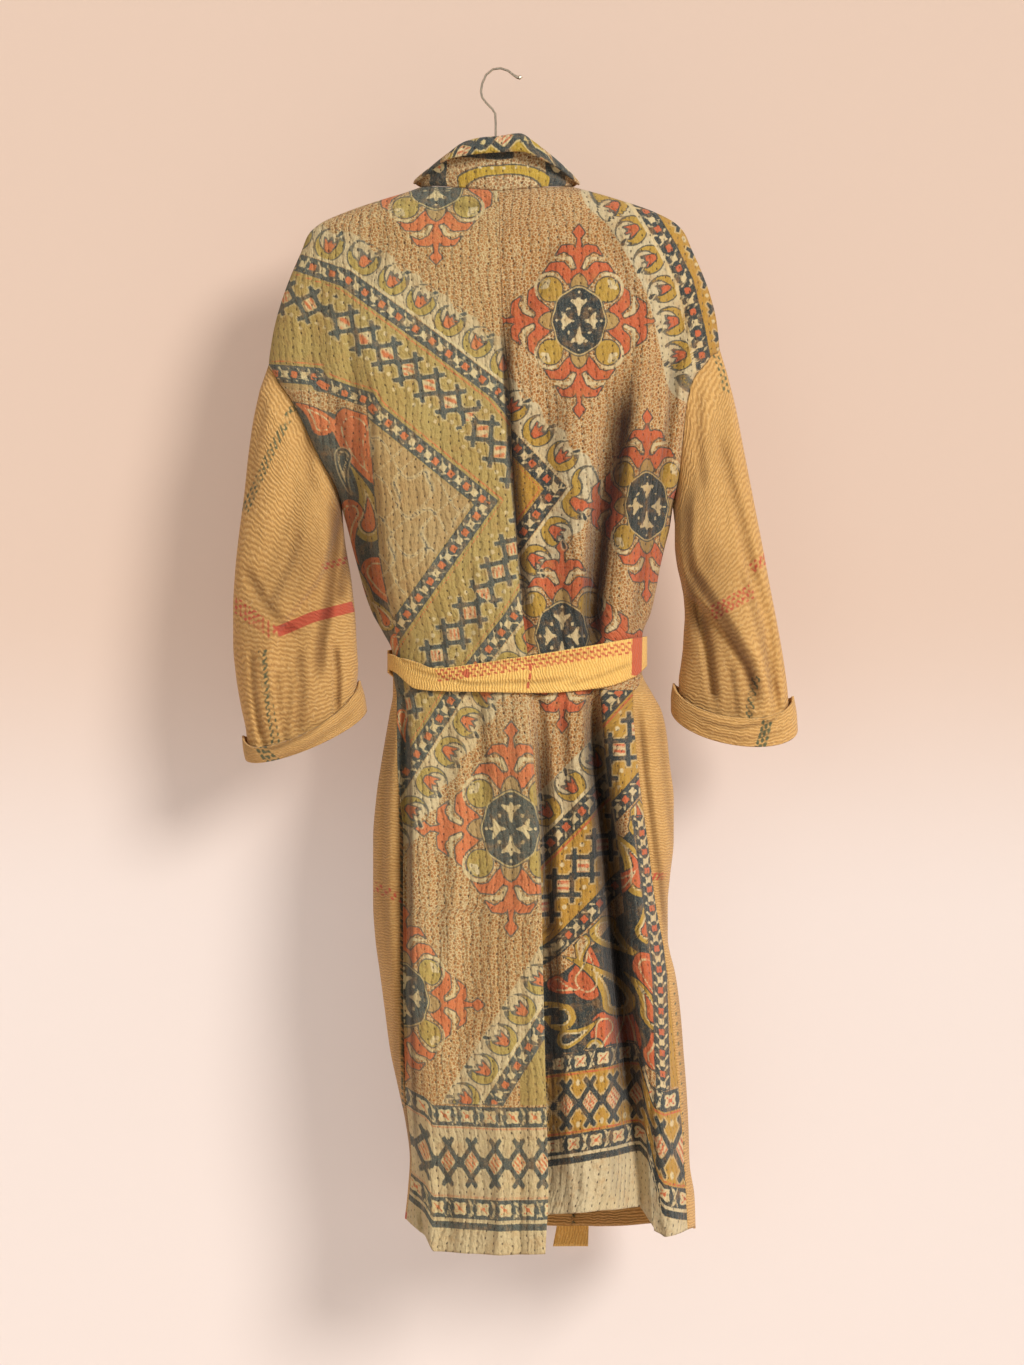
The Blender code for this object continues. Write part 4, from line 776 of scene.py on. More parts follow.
class Print:
    """Layers of drawn shapes, each the distance to its nearest shape."""

    LAYERS = ("mustard_zone", "pale_zone", "cream_zone", "dark_zone", "mustard", "orange", "dark",
              "cream", "rust")

    def __init__(self, x, y):
        self.x, self.y = x, y
        self.layers = {name: nothing(x) for name in self.LAYERS}

    def add(self, name, distance, within=None):
        if within is not None:
            distance = np.maximum(distance, within)
        self.layers[name] = np.minimum(self.layers[name], distance)

    def clear(self, inside, names=LAYERS):
        """Takes drawn shapes away where inside is negative."""
        for name in names:
            self.layers[name] = np.maximum(self.layers[name], -inside)

    def border(self, off, along, wide, within=ANYWHERE, pitch=22.0, paired=False):
        """Dark strip of small blossoms: cream and orange in turn, or both colours in each."""
        strip = np.maximum(np.abs(off) - wide / 2, within)
        self.add("dark_zone", strip)
        single = ((pitch * 0.25, "cream"), (pitch * 0.75, "rust"))
        for shift, name in ((0.0, "cream"),) if paired else single:
            ls = np.mod(along - shift + pitch / 2, pitch) - pitch / 2
            r, a = np.hypot(ls, off), np.arctan2(off, ls)
            size = wide * (0.33 if paired else 0.205)
            petals = r - size * (1 + 0.22 * np.cos(4 * a + math.pi))
            self.add(name, petals, strip + 1)
            if paired:
                core = np.maximum(petals + 1.6, np.abs(np.cos(2 * a)) * r - 1.3)
                self.add("rust", core, strip + 1)
            else:
                self.add("dark", r - 0.9, strip + 1)
            gap = along - shift - pitch * (0.5 if paired else 0.25)
            gap = np.mod(gap + pitch / 2, pitch) - pitch / 2
            for end in (-1, 1):
                leaf = capsule(gap, off * end, -1.8, wide * 0.36, 1.6, wide * 0.16, 1.2, 0.5)
                self.add("cream", leaf, strip + 0.8)
            if paired:
                cross = np.abs(np.abs(gap) - np.abs(off) * 0.36) - 0.5
                self.add("cream", cross, strip + 0.6)

    def crescents(self, off, along, middle, within=ANYWHERE, pitch=35.0, shift=0.0):
        """Mustard crescents that cup an orange tulip."""
        ls = np.mod(along + shift, pitch) - pitch / 2
        lo = off - middle
        outer = np.maximum(np.hypot(ls * 1.08, lo) - 16.0, 12.2 - np.hypot(ls, lo - 4.5))
        inner = np.maximum(np.hypot(ls - 3, lo + 1) - 11, 9.6 - np.hypot(ls + 2, lo - 3))
        self.add("mustard", np.minimum(outer, inner), within)
        for lean in (-0.5, 0.0, 0.5):
            px, py = spun(ls, lo + 7, lean)
            self.add("orange", capsule(px, py, 0, 2, 0, 14, 3.2, 0.6), within)
        self.add("dark", capsule(ls, lo, 4.5, 10, 7.5, 15, 1.3, 2.0), within)

    def crosses(self, off, along, within=ANYWHERE, pitch=27.0, size=1.0, shift=0.0, slim=1.0):
        """Dark double crosses round a hatched diamond, square or drawn up slim."""
        ls = (np.mod(along + shift, pitch) - pitch / 2) / size * slim
        lo = off / size / slim
        a, b = (ls + lo) * 0.7071, (ls - lo) * 0.7071
        for p, q in ((a, b), (b, a)):
            bars = np.maximum(np.abs(np.abs(p) - 7.2) - 1.9, np.abs(q) - 14.5)
            self.add("dark", bars * size, within)
        inner = np.maximum(np.abs(a), np.abs(b)) - 4.9
        self.add("cream", inner * size, within)
        self.add("rust", np.maximum(inner, np.abs(np.mod(b, 3.0) - 1.5) - 0.75) * size, within)
        between = np.hypot(np.abs(ls) - pitch / 2 / size * slim, np.abs(lo) - 13) - 2.0
        self.add("cream", np.minimum(between, np.hypot(ls, np.abs(lo) - 21) - 1.8), within)

    def medallion(self, cx, cy, sx=1.0, sy=1.0):
        """Dark rounded diamond, four palmettes and four leafy roundels."""
        x, y = (self.x - cx) / sx, (self.y - cy) / sy
        ax, ay = np.abs(x), np.abs(y)
        far = np.hypot(x, y) - 112
        for u, v, start in ((ax, ay, 0.0), (ay, ax, 6.0)):
            w = v + start
            leaf = strokes(u, w, PALMETTE)
            leaf = np.minimum(leaf, (np.abs(u) * 1.25 + np.abs(w - 93)) * 0.62 - 5.6)
            slit = strokes(u, w, PALMETTE_SLIT)
            self.add("orange", np.maximum(leaf, 1.2 - slit), far)
            self.add("cream", slit, far)
            brow = np.maximum(np.hypot(u - 6, w - 36) - 15, np.hypot(u + 6, w - 36) - 15)
            self.add("pale_zone", brow, far)
            self.clear(brow - 0.8, ["orange"])
        rx, ry = ax - 31, ay - 33
        self.add("cream", np.abs(np.hypot(rx - 1, ry - 1) - 15.3) - 1.5, 7 - rx - ry)
        self.add("mustard", np.hypot(rx, ry) - 13.2)
        self.add("cream", strokes(rx, ry, ROUNDEL))
        self.add("dark", np.abs(capsule(rx, ry, 5.5, 5.5, 9, 9, 2.4, 1.0)) - 0.5)
        core = ((ax / 28) ** 2.0 + (ay / 34) ** 2.0) ** 0.5 * 30 - 30
        core = core - 0.8 * np.cos(8 * np.arctan2(y, x))
        self.add("mustard", core - 1.4)
        self.clear(core - 2.5, ["orange"])
        self.add("dark", core)
        self.layers["cream"] = np.where(core < -1, FAR, self.layers["cream"])
        for u, v, k in ((ax, ay, 1.0), (ay, ax, 0.8)):
            self.add("cream", capsule(u, v, 0, 6, 0, 18 * k, 1.0, 3.4))
            self.add("cream", capsule(u, v, 0, 17 * k, 8.5, 22 * k, 3.4, 1.4))
            self.add("cream", capsule(u, v, 0, 18 * k, 0, 24 * k, 3.2, 1.6))
            self.add("cream", np.hypot(u, v - 30.5 * k) - 1.7)
        self.add("cream", np.hypot(ax - 11.5, ay - 12.5) - 2.0)

    def edging(self, off, along, within, clear, zone, middle, line, border, shift):
        """Cream band of crescents, a cream line and a border, one beside the other."""
        self.clear(np.maximum(-off - clear, within))
        self.add("cream_zone", np.maximum(np.abs(off + zone[0]) - zone[1], within))
        self.crescents(-off, along, middle, within, shift=shift)
        self.add("cream", np.maximum(np.abs(off) - line, within))
        self.border(off - border[0], along, border[1], within)

    def drops(self, rows, within=ANYWHERE):
        """Paisley drops: x, y, angle in degrees, length, radius, layer."""
        for cx, cy, angle, size, radius, layer in rows:
            x, y = spun(self.x - cx, self.y - cy, math.radians(angle))
            bent = x - 0.012 * y * np.abs(y)
            shape = capsule(bent, y, 0, 0, 0, size, radius, 0.8)
            if layer == "mustard":
                self.clear(shape - 1.0, ["orange"])
            self.add(layer, shape, within)
            self.add("cream", np.abs(shape + radius * 0.42) - 0.9, within)
            core = capsule(bent, y, 0, 0, 0, size * 0.5, radius * 0.45, 0.5)
            if layer == "mustard":
                self.add("orange", core, within)
                self.layers["mustard"] = np.where(core < 0, FAR, self.layers["mustard"])


CHEVRON_LEFT = [
    (240, 232), (299, 250), (349, 268), (439, 334), (505, 385), (600, 500), (520.8, 624),
    (468, 692), (412, 781), (360, 862),
]
CHEVRON_RIGHT = [(440, 356), (521.8, 439), (568.8, 487.8), (520.8, 552.4), (470, 620)]
INNER = [
    (240, 357), (269, 361.6), (322, 367), (328, 377), (374, 393), (382, 406), (499.4, 501.4),
    (404.5, 634), (350, 710),
]
MEDALLIONS_LEFT = [(436, 178, 1.0, 0.85), (511, 828, 1.0, 1.05), (404, 1003, 0.85, 0.95)]
MEDALLIONS_RIGHT = [(579, 321, 0.92, 0.96), (647, 506, 0.75, 0.95), (562, 636, 0.9, 0.95)]
SIDE_DROPS = [
    (354, 430, 8, 66, 22, "orange"), (343, 456, 12, 34, 8, "dark"),
    (368, 524, 195, 54, 17, "mustard"), (350, 512, 20, 46, 13, "orange"),
    (376, 572, 350, 54, 16, "orange"), (362, 604, 190, 44, 13, "mustard"),
    (386, 622, 160, 36, 9, "mustard"), (322, 424, 150, 34, 12, "orange"),
    (396, 640, 20, 26, 7, "orange"), (402, 716, 10, 26, 7, "orange"),
    (414, 1180, 10, 26, 6, "orange"),
]
PAISLEYS = [
    (586, 978, 200, 44, 19, "orange"), (560, 1014, 130, 40, 15, "mustard"),
    (604, 1026, 30, 46, 15, "orange"), (604, 930, 330, 44, 15, "mustard"),
    (566, 1036, 262, 34, 10, "mustard"), (618, 1000, 165, 60, 17, "mustard"),
    (640, 880, 178, 64, 17, "mustard"), (648, 966, 350, 60, 16, "orange"),
    (626, 1040, 196, 48, 16, "orange"), (654, 1050, 200, 44, 12, "orange"),
    (614, 886, 250, 40, 12, "orange"), (594, 1046, 60, 30, 9, "mustard"),
    (556, 982, 300, 30, 9, "orange"), (646, 930, 200, 40, 12, "mustard"),
    (640, 826, 184, 46, 12, "mustard"), (652, 1010, 170, 44, 13, "mustard"),
    (582, 940, 20, 26, 8, "mustard"),
]


SHOULDER_LINE = [(612, 186), (632, 203), (661, 251), (677, 284), (688, 330), (696, 372)]
RIDGE_LINE = [(690, 600), (765, 606), (844, 617), (960, 628), (1080, 640), (1226, 655)]
SKIRT_LINES = (
    [(500, 877), (541.9, 835.1), (583.5, 793), (645, 731)],
    [(480, 826.5), (562.3, 737.3), (640, 653)],
)


def chevron(p, line):
    """The pointed border of each back half, with its crescents, crosses and inner border."""
    x, y = p.x, p.y
    off, along = path_of(line, x, y)
    live = 205 - y
    p.clear(off + 1)
    edge = 32 + 3.5 * np.cos(along * 2 * math.pi / 35)
    p.add("cream_zone", np.maximum(np.maximum(off - edge, -off), live))
    p.crescents(off, along, 17, live)
    p.add("cream", np.maximum(np.abs(off - 1) - 1.4, live))
    p.border(off + 10, along, 18, live, pitch=21)
    p.add("rust", np.maximum(np.abs(off + 22.0) - 0.8, live))
    inside = np.maximum(off + 19, live)
    p.add("mustard_zone", inside)
    if line is CHEVRON_RIGHT:
        return
    # The left half's inner border, its crosses and the pale field with faint leaves
    ioff, ialong = path_of(INNER, x, y)
    p.crosses(off + 47, along, np.maximum(inside + 5, 5 - ioff), pitch=27, size=1.18, shift=6)
    p.add("rust", np.abs(ioff - 3) - 0.8)
    p.border(ioff + 9.5, ialong, 18, off + 40, pitch=20)
    core = np.maximum(ioff + 19, live)
    p.add("pale_zone", core)
    wave = np.abs(np.mod(x * 0.8 + y * 0.45 + 7 * np.sin(y * 0.11 + x * 0.03), 22) - 11) - 0.55
    leaf = np.abs(np.mod(y * 0.8 - x * 0.5 + 9 * np.sin(x * 0.12), 31) - 15.5) - 0.5
    p.add("dark", np.minimum(wave, leaf), core + 3)


def left_print(x, y):
    """The print of the left back half."""
    p = Print(x, y)
    for row in MEDALLIONS_LEFT:
        p.medallion(*row)
    chevron(p, CHEVRON_LEFT)
    edge = at([(400, 366), (460, 372), (560, 380), (651, 399), (760, 412)], y, 1)
    strip = np.maximum(x - edge, y - 768)
    low_edge = at([(270, 386), (323, 392), (345, 400), (390, 415)], x, 1) - y
    p.clear(np.maximum(strip, low_edge))
    p.add("dark_zone", np.maximum(strip, low_edge + 18))
    strip = np.maximum(strip, low_edge + 8)
    p.drops(SIDE_DROPS, strip)
    off, along = path_of([(575, 950), (544, 999), (481, 1100), (470, 1118)], x, y)
    low = np.maximum(y - 1102, 930 - y)
    p.edging(off, along, low, 0, (16, 17), 16, 1.6, (11, 18), 10)
    p.add("mustard_zone", np.maximum(np.maximum(20 - off, off - 120), np.maximum(low, 520 - x)))
    hem_bands(p, 1104, 1160, 1206, 1217, 20, "cream_zone")
    return p


def hem_bands(p, first, middle, second, white, wide, ground):
    """Border, crosses, border, lines and plain cream edge along a hem."""
    x, y = p.x, p.y
    cut = first - 1 - y
    p.clear(cut)
    p.border(y - first - wide / 2, x + 5, wide, cut, pitch=22.5, paired=True)
    p.add(ground, np.maximum(first + wide - y, y - second + wide / 2))
    p.add("rust", np.abs(y - first - wide - 2) - 1.0)
    p.add("rust", np.abs(y - second + wide / 2 + 2) - 1.0)
    band = np.maximum(first + wide + 4 - y, y - second + wide / 2 + 4)
    p.crosses(y - middle, x, band, pitch=23.5, size=1.28, shift=10, slim=1.24)
    p.border(y - second, x + 12, wide, pitch=22.5, paired=True)
    p.add("cream_zone", np.maximum(white - 2 - y, y - 1400))
    p.add("dark", np.abs(y - white - 6) - 3.4)


def right_print(x, y):
    """The print of the right back half."""
    p = Print(x, y)
    for row in MEDALLIONS_RIGHT:
        p.medallion(*row)
    chevron(p, CHEVRON_RIGHT)
    off, along = path_of(SHOULDER_LINE, x, y)
    live = y - 420
    p.edging(off, along, live, 30, (15, 16), 14, 1.8, (10, 17), 4)
    p.add("mustard_zone", np.maximum(-off, live))
    p.crosses(off - 42, along, np.maximum(live, 24 - off), pitch=27, size=1.05)
    ridge = x - at(RIDGE_LINE, y, 1)
    for line, within in ((SKIRT_LINES[0], ridge), (SKIRT_LINES[1], -ridge)):
        off, along = path_of(line, x, y)
        off = -off
        band = np.maximum(np.maximum(690 - y, within), y - 1060)
        p.edging(off, along, band, 30, (15, 17), 15, 1.6, (11, 19), 8)
        p.add("mustard_zone", np.maximum(2 - off, np.maximum(band, off - 86)))
        p.add("rust", np.maximum(np.abs(off - 23) - 1.0, band))
        strip = np.maximum(band, np.abs(off - 50) - 26)
        p.crosses(off - 50, along, strip, pitch=28, size=1.2, shift=3)
        p.border(off - 88, along + 8, 17, band)
        p.add("dark_zone", np.maximum(112 - off, band))
        p.drops(PAISLEYS, np.maximum(99 - off, band))
    voff, valong = path_of([(636, 800), (641, 827), (655, 930), (660, 973), (663, 1090)], x, y)
    side = np.maximum(815 - y, y - 1092)
    p.clear(np.maximum(-voff - 8, side))
    p.border(voff, valong, 15, side, pitch=19)
    p.add("mustard_zone", np.maximum(8 - voff, side))
    # Behind the ridge the hem's bands are drawn higher, and they rise to the side
    step = np.clip(ridge / 10, 0, 1)
    rise = 23 + (x - 655) * 0.45 * share(y, 1110, 50)
    flat = y + (x - 547) * 0.10 * (1 - step) - step * rise
    shown = Print(x, flat)
    hem_bands(shown, 1052, 1103, 1142, 1152, 19, "mustard_zone")
    low = flat > 1051
    for name in p.LAYERS:
        p.layers[name] = np.where(low, shown.layers[name], p.layers[name])
    return p


def collar_print_with_painted_shadow(u, v):
    """u runs round the neck from its middle, v from the seam over the roll, in table units."""
    p = Print(u, v)
    p.add("mustard_zone", 46 - v)
    # Dark band on the upper stand under the roll: a painted shadow of the fall
    p.add("dark_zone", np.maximum(np.abs(v - 38) - 7, np.abs(u + 14) - 30))
    p.crosses(v - 60, u, 46 - v, pitch=40, size=1.3, shift=14)
    moon = np.maximum(np.hypot((u - 6) * 0.55, v + 4) - 29, 22 - np.hypot((u - 6) * 0.55, v + 6))
    p.add("mustard", moon, np.maximum(v - 34, np.abs(u - 6) - 46))
    p.add("cream", np.maximum(np.hypot(np.mod(u, 12) - 6, v - 22) - 1.8, np.abs(u - 6) - 36))
    p.add("dark_zone", np.maximum(np.minimum(np.abs(u - 60) - 12, np.abs(u + 62) - 10), v - 46))
    dot = np.hypot(np.abs(u) - 61, v - 20)
    p.add("cream", dot - 6)
    p.add("rust", dot - 2.4)
    return p


# Creases placed one by one: line, reach left, reach right, depth in mm, darkness of painted shade
# (rows with no depth only paint shade)
CREASES_BACK = [
    ([(500, 290), (507, 420), (516, 520), (523, 600), (530, 664)], 3, 13, 3.4, 0.95),
    ([(532, 690), (538, 760), (543, 850), (549, 980), (552, 1120), (553, 1230)], 4, 15, 2.0, 0.88),
    ([(634, 360), (622, 440), (608, 520), (599, 590), (594, 690)], 24, 15, 5.0, 1.0),
    ([(590, 672), (592, 740), (601, 840), (614, 960), (624, 1060), (634, 1160)], 15, 24, 3.0, 0.88),
    ([(334, 372), (343, 440), (352, 510), (366, 580), (384, 650)], 8, 15, 3.4, 0.6),
    ([(409, 690), (411, 800), (411, 1000), (415, 1150), (424, 1220)], 3, 5, 0.5, 0.55),
    ([(560, 360), (556, 450), (560, 540), (570, 660)], 16, 18, 2.4, 0.34),
    ([(560, 230), (548, 270), (520, 330)], 12, 14, 1.8, 0.22),
    ([(600, 214), (622, 262), (640, 320)], 9, 12, 1.6, 0.18),
    ([(640, 420), (628, 480), (616, 560)], 26, 30, 0.0, 0.24),
    ([(446, 690), (452, 760), (446, 880), (440, 980)], 10, 12, 2.4, 0.22),
    ([(478, 684), (482, 740), (488, 820)], 6, 8, 2.4, 0.26),
    ([(508, 690), (512, 750), (514, 840), (510, 930)], 6, 9, 2.2, 0.26),
    ([(560, 690), (565, 760), (569, 850)], 6, 8, 2.6, 0.36),
    ([(470, 560), (472, 610), (476, 655)], 6, 7, 1.8, 0.2),
    ([(432, 590), (438, 630), (446, 658)], 5, 7, 1.8, 0.2),
    ([(562, 580), (560, 620), (562, 655)], 5, 6, 2.0, 0.3),
    ([(648, 430), (652, 500), (642, 570), (632, 640)], 5, 9, 2.0, 0.34),
    ([(676, 330), (672, 400), (662, 470), (652, 540)], 6, 7, 2.0, 0.4),
    ([(646, 1080), (652, 1130), (655, 1190), (668, 1232)], 8, 7, 3.0, 0.45),
    ([(390, 214), (380, 250), (352, 300)], 14, 16, 1.6, 0.12),
    ([(500, 200), (470, 206), (440, 203)], 5, 5, 1.0, 0.3),
    ([(440, 1130), (446, 1180), (452, 1244)], 7, 8, 2.2, 0.18),
    ([(490, 1150), (494, 1200), (492, 1248)], 7, 8, 2.0, 0.16),
    ([(572, 1110), (576, 1160), (580, 1205)], 7, 8, 2.4, 0.22),
    ([(608, 1120), (612, 1160), (616, 1204)], 7, 7, 2.2, 0.2),
]
CREASES_SLEEVE_LEFT = [
    ([(310, 500), (306, 620), (302, 800)], 70, 60, 0.0, 0.22),
    ([(338, 470), (336, 540), (330, 600), (322, 640), (318, 700)], 12, 8, 4.1, 0.72),
    ([(352, 520), (344, 560), (336, 610)], 10, 12, 2.7, 0.65),
    ([(240, 560), (262, 600), (284, 628), (306, 640)], 10, 9, 4.3, 0.39),
    ([(300, 520), (284, 570), (262, 612)], 9, 10, 3.0, 0.21),
    ([(296, 640), (300, 690), (296, 745)], 8, 10, 3.8, 0.44),
    ([(334, 640), (338, 680), (336, 716)], 5, 6, 3.2, 0.52),
    ([(250, 640), (252, 690), (262, 748)], 5, 7, 3.0, 0.39),
    ([(276, 660), (278, 700), (284, 750)], 4, 5, 2.2, 0.34),
    ([(312, 400), (306, 450), (312, 500)], 8, 12, 2.2, 0.18),
    ([(268, 380), (252, 450), (246, 520)], 8, 8, 2.2, 0.16),
]
CREASES_SLEEVE_RIGHT = [
    ([(690, 520), (712, 620), (726, 780)], 40, 44, 0.0, 0.3),
    ([(682, 552), (704, 590), (728, 628), (748, 664), (762, 716)], 9, 12, 5.7, 0.81),
    ([(700, 600), (710, 650), (716, 715)], 7, 9, 4.1, 0.62),
    ([(690, 480), (688, 540), (694, 600), (704, 660)], 10, 7, 3.2, 0.6),
    ([(716, 420), (730, 480), (746, 540), (760, 600)], 7, 9, 2.7, 0.21),
    ([(736, 560), (752, 600), (768, 660), (778, 710)], 6, 7, 3.0, 0.31),
    ([(730, 660), (736, 700), (738, 724)], 5, 6, 3.0, 0.52),
    ([(700, 380), (698, 440), (704, 500)], 6, 8, 2.2, 0.18),
    ([(746, 690), (750, 712), (752, 730)], 4, 5, 2.2, 0.44),
]
CREASES_CUFF_LEFT = [
    ([(250, 752), (276, 748), (310, 733), (345, 700), (362, 686)], 2.5, 3.5, 0.8, 0.45),
    ([(270, 762), (300, 752), (334, 728), (362, 704)], 4, 5, 1.2, 0.2),
]
CREASES_CUFF_RIGHT = [
    ([(680, 704), (708, 722), (736, 728), (770, 722), (790, 708)], 3.5, 2.5, 0.8, 0.45),
    ([(684, 716), (712, 734), (742, 740), (776, 734), (796, 722)], 4, 4, 1.2, 0.22),
    ([(760, 706), (764, 724), (762, 744)], 4, 5, 1.6, 0.3),
]
CREASES_BELT = [
    ([(388, 660), (424, 674), (470, 684), (540, 682), (590, 676)], 3, 4, 1.6, 0.34),
    ([(470, 664), (540, 660), (610, 650)], 3, 3, 1.2, 0.2),
    ([(560, 687), (600, 676), (640, 660)], 3, 3, 1.4, 0.28),
    ([(392, 650), (404, 662), (430, 668)], 3, 3, 1.4, 0.3),
]
CREASES_SIDES = [
    ([(409, 700), (404, 800), (405, 1000), (410, 1150), (420, 1215)], 9, 4, 2.0, 0.62),
    ([(396, 700), (384, 790), (382, 880), (392, 1000)], 5, 7, 1.8, 0.16),
    ([(398, 960), (396, 1080), (402, 1180)], 5, 6, 1.6, 0.22),
    ([(636, 690), (646, 780), (660, 880), (668, 960)], 3, 6, 2.0, 0.55),
    ([(658, 700), (666, 780), (676, 860)], 5, 6, 2.0, 0.26),
    ([(676, 960), (684, 1060), (690, 1180)], 5, 5, 1.6, 0.24),
    ([(560, 1246), (560, 1190), (556, 1140)], 20, 20, 0.0, 0.3),
]
CREASES_FRONT = [
    ([(470, 700), (460, 850), (452, 1040), (446, 1220)], 13, 16, 4.0, 0.3),
    ([(506, 690), (504, 800), (498, 950)], 9, 11, 3.0, 0.24),
    ([(566, 700), (576, 860), (588, 1060), (594, 1220)], 14, 13, 4.0, 0.32),
    ([(604, 690), (616, 800), (630, 960)], 9, 10, 2.6, 0.26),
    ([(424, 480), (442, 560), (462, 652)], 11, 10, 3.0, 0.26),
    ([(612, 470), (594, 560), (578, 652)], 10, 12, 3.2, 0.28),
    ([(388, 420), (398, 500), (420, 580)], 9, 9, 2.2, 0.22),
    ([(650, 430), (640, 520), (622, 600)], 8, 9, 2.2, 0.22),
]
CREASES = {
    "sleeve_left": CREASES_SLEEVE_LEFT, "sleeve_right": CREASES_SLEEVE_RIGHT,
    "cuff_left": CREASES_CUFF_LEFT, "cuff_right": CREASES_CUFF_RIGHT,
}


def dashes(x, y, line, offsets, pitch, dash, half):
    """Rows of short stitches beside a line."""
    off, along = path_of(line, x, y)
    found = nothing(x)
    for k, shift in enumerate(offsets):
        ls = np.abs(np.mod(along + k * pitch / 2, pitch) - pitch / 2) - dash / 2
        found = np.minimum(found, np.maximum(np.abs(off - shift) - half, ls))
    return np.maximum(found, np.maximum(0.5 - along, along - line_length(line) + 0.5))


def tan_marks(x, y, rows, back):
    """Red and green stitches of the plain cloth: colour, line, offsets, pitch, dash, half width."""
    out = {"red": nothing(x), "green": nothing(x)}
    for colour, line, offsets, pitch, dash, half in rows:
        found = dashes(x, y, line, offsets, pitch, dash, half)
        out[colour] = np.minimum(out[colour], np.where(back > 0, found, FAR))
    return out


MARKS = {
    "sleeve_left": [
        ("green", [(296, 398), (270, 452), (243, 510)], (-3.4, 0, 3.4), 7, 4.2, 1.1),
        ("red", [(231, 602), (275, 634)], (-6, -2, 2, 6), 6, 3.6, 1.3),
        ("red", [(322, 566), (349, 557)], (-3, 1), 6, 3.6, 1.3),
        ("red", [(277, 632), (312, 617), (353, 606)], (0,), 400, 400, 5.4),
        ("green", [(262, 648), (266, 690), (275, 745)], (-3.6, 0, 3.6), 7, 4.2, 1.1)],
    "sleeve_right": [
        ("red", [(711, 614), (754, 590)], (-6, -2, 2, 6), 6, 3.6, 1.3),
        ("red", [(752, 569), (770, 555)], (-4, 0, 4), 6, 3.6, 1.3),
        ("green", [(757, 676), (752, 698), (749, 722)], (-3.4, 0, 3.4), 7, 4.2, 1.1),
        ("green", [(716, 350), (724, 372), (728, 392)], (-2, 2), 7, 4.2, 1.1)],
    "belt": [
        ("red", [(436, 676), (481, 670), (529, 663), (600, 652), (634, 647)], (-5, -1.7, 1.7, 5),
         7, 4.2, 1.15),
        ("red", [(463, 675), (469, 672)], (0,), 60, 60, 3.2),
        ("red", [(531, 663), (530, 676), (527, 690)], (0,), 9, 7, 1.5),
        ("red", [(638, 630), (637, 676)], (0,), 400, 400, 5.2)],
    "front_hem": [("green", [(575, 1150), (575, 1245)], (-3, 0, 3), 7, 4.2, 1.2)],
    "cuff_left": [("green", [(259, 746), (266, 756), (277, 764)], (-4, 0, 4), 7, 5, 1.4)],
    "cuff_right": [("green", [(768, 720), (765, 735), (760, 750)], (-4, 0, 4), 7, 5, 1.4)],
    "front_left": [
        ("green", [(402, 770), (404, 900), (405, 1110)], (-3, 0.5, 4), 7, 4.4, 1.2),
        ("red", [(372, 887), (404, 899)], (-4, 0, 4), 5, 2.8, 1.1),
        ("red", [(405, 1215), (405, 1232)], (0,), 60, 60, 3.5)],
    "front_right": [
        ("red", [(650, 876), (674, 879)], (-3.5, 0, 3.5), 5, 2.8, 1.1),
        ("green", [(676, 980), (684, 1080), (688, 1200)], (-2,), 10, 4, 1.0)],
}


# Materials
def linear(c):
    return c / 12.92 if c <= 0.04045 else ((c + 0.055) / 1.055) ** 2.4


def srgb(r, g, b):
    """Display values as a linear colour."""
    return (linear(r), linear(g), linear(b), 1.0)


class Nodes:
    """A new material, and short names for building its node tree."""

    def __init__(self, name):
        self.material = bpy.data.materials.new("look_" + name)
        self.material.use_nodes = True
        self.tree = self.material.node_tree
        self.shader = self.tree.nodes["Principled BSDF"]

    def new(self, kind, **settings):
        node = self.tree.nodes.new(kind)
        for name, value in settings.items():
            setattr(node, name, value)
        return node

    def link(self, a, b):
        self.tree.links.new(a, b)

    def fill(self, node, values):
        """Links or sets a node's inputs, named or counted."""
        for name, value in values.items() if isinstance(values, dict) else enumerate(values):
            if isinstance(value, bpy.types.NodeSocket):
                self.link(value, node.inputs[name])
            else:
                node.inputs[name].default_value = value
        return node

    def math(self, kind, a, b=0.0, c=0.0):
        return self.fill(self.new("ShaderNodeMath", operation=kind), (a, b, c)).outputs[0]

    def plus(self, a, b):
        return self.math("ADD", a, b)

    def times(self, a, b):
        return self.math("MULTIPLY", a, b)

    def mix(self, amount, a, b, kind="MIX"):
        node = self.new("ShaderNodeMix", data_type="RGBA", blend_type=kind)
        return self.fill(node, {0: amount, 6: a, 7: b}).outputs[2]

    def ramp(self, value, low, high, a=0.0, b=1.0):
        node = self.new("ShaderNodeMapRange", interpolation_type="SMOOTHSTEP")
        return self.fill(node, (value, low, high, a, b)).outputs[0]

    def attribute(self, name):
        return self.new("ShaderNodeAttribute", attribute_name=name).outputs["Fac"]

    def noise(self, vector, scale, detail=2.0, rough=0.5, output=0):
        values = {"Vector": vector, "Scale": scale, "Detail": detail, "Roughness": rough}
        return self.fill(self.new("ShaderNodeTexNoise"), values).outputs[output]

    def stretched_noise(self, vector, stretch, detail, rough):
        return self.noise(self.scaled(vector, *stretch), 1.0, detail, rough)

    def voronoi(self, vector, scale, feature="F1"):
        node = self.new("ShaderNodeTexVoronoi", feature=feature)
        return self.fill(node, {"Vector": vector, "Scale": scale}).outputs["Distance"]

    def uv(self):
        return self.new("ShaderNodeUVMap", uv_map="flat").outputs[0]

    def separate(self, vector):
        return self.fill(self.new("ShaderNodeSeparateXYZ"), (vector,)).outputs

    def scaled(self, vector, x, y, z=1.0):
        node = self.new("ShaderNodeMapping")
        return self.fill(node, {0: vector, "Scale": (x, y, z)}).outputs[0]

    def surface(self, colour, values, height=None, strength=1.0, distance=0.001):
        """Gives the shader its colour, its own values and a bump, and returns the material."""
        self.fill(self.shader, {"Base Color": colour, **values})
        if height is not None:
            bump = self.new("ShaderNodeBump")
            self.fill(bump, {"Strength": strength, "Distance": distance, "Height": height})
            self.link(bump.outputs[0], self.shader.inputs["Normal"])
        return self.material


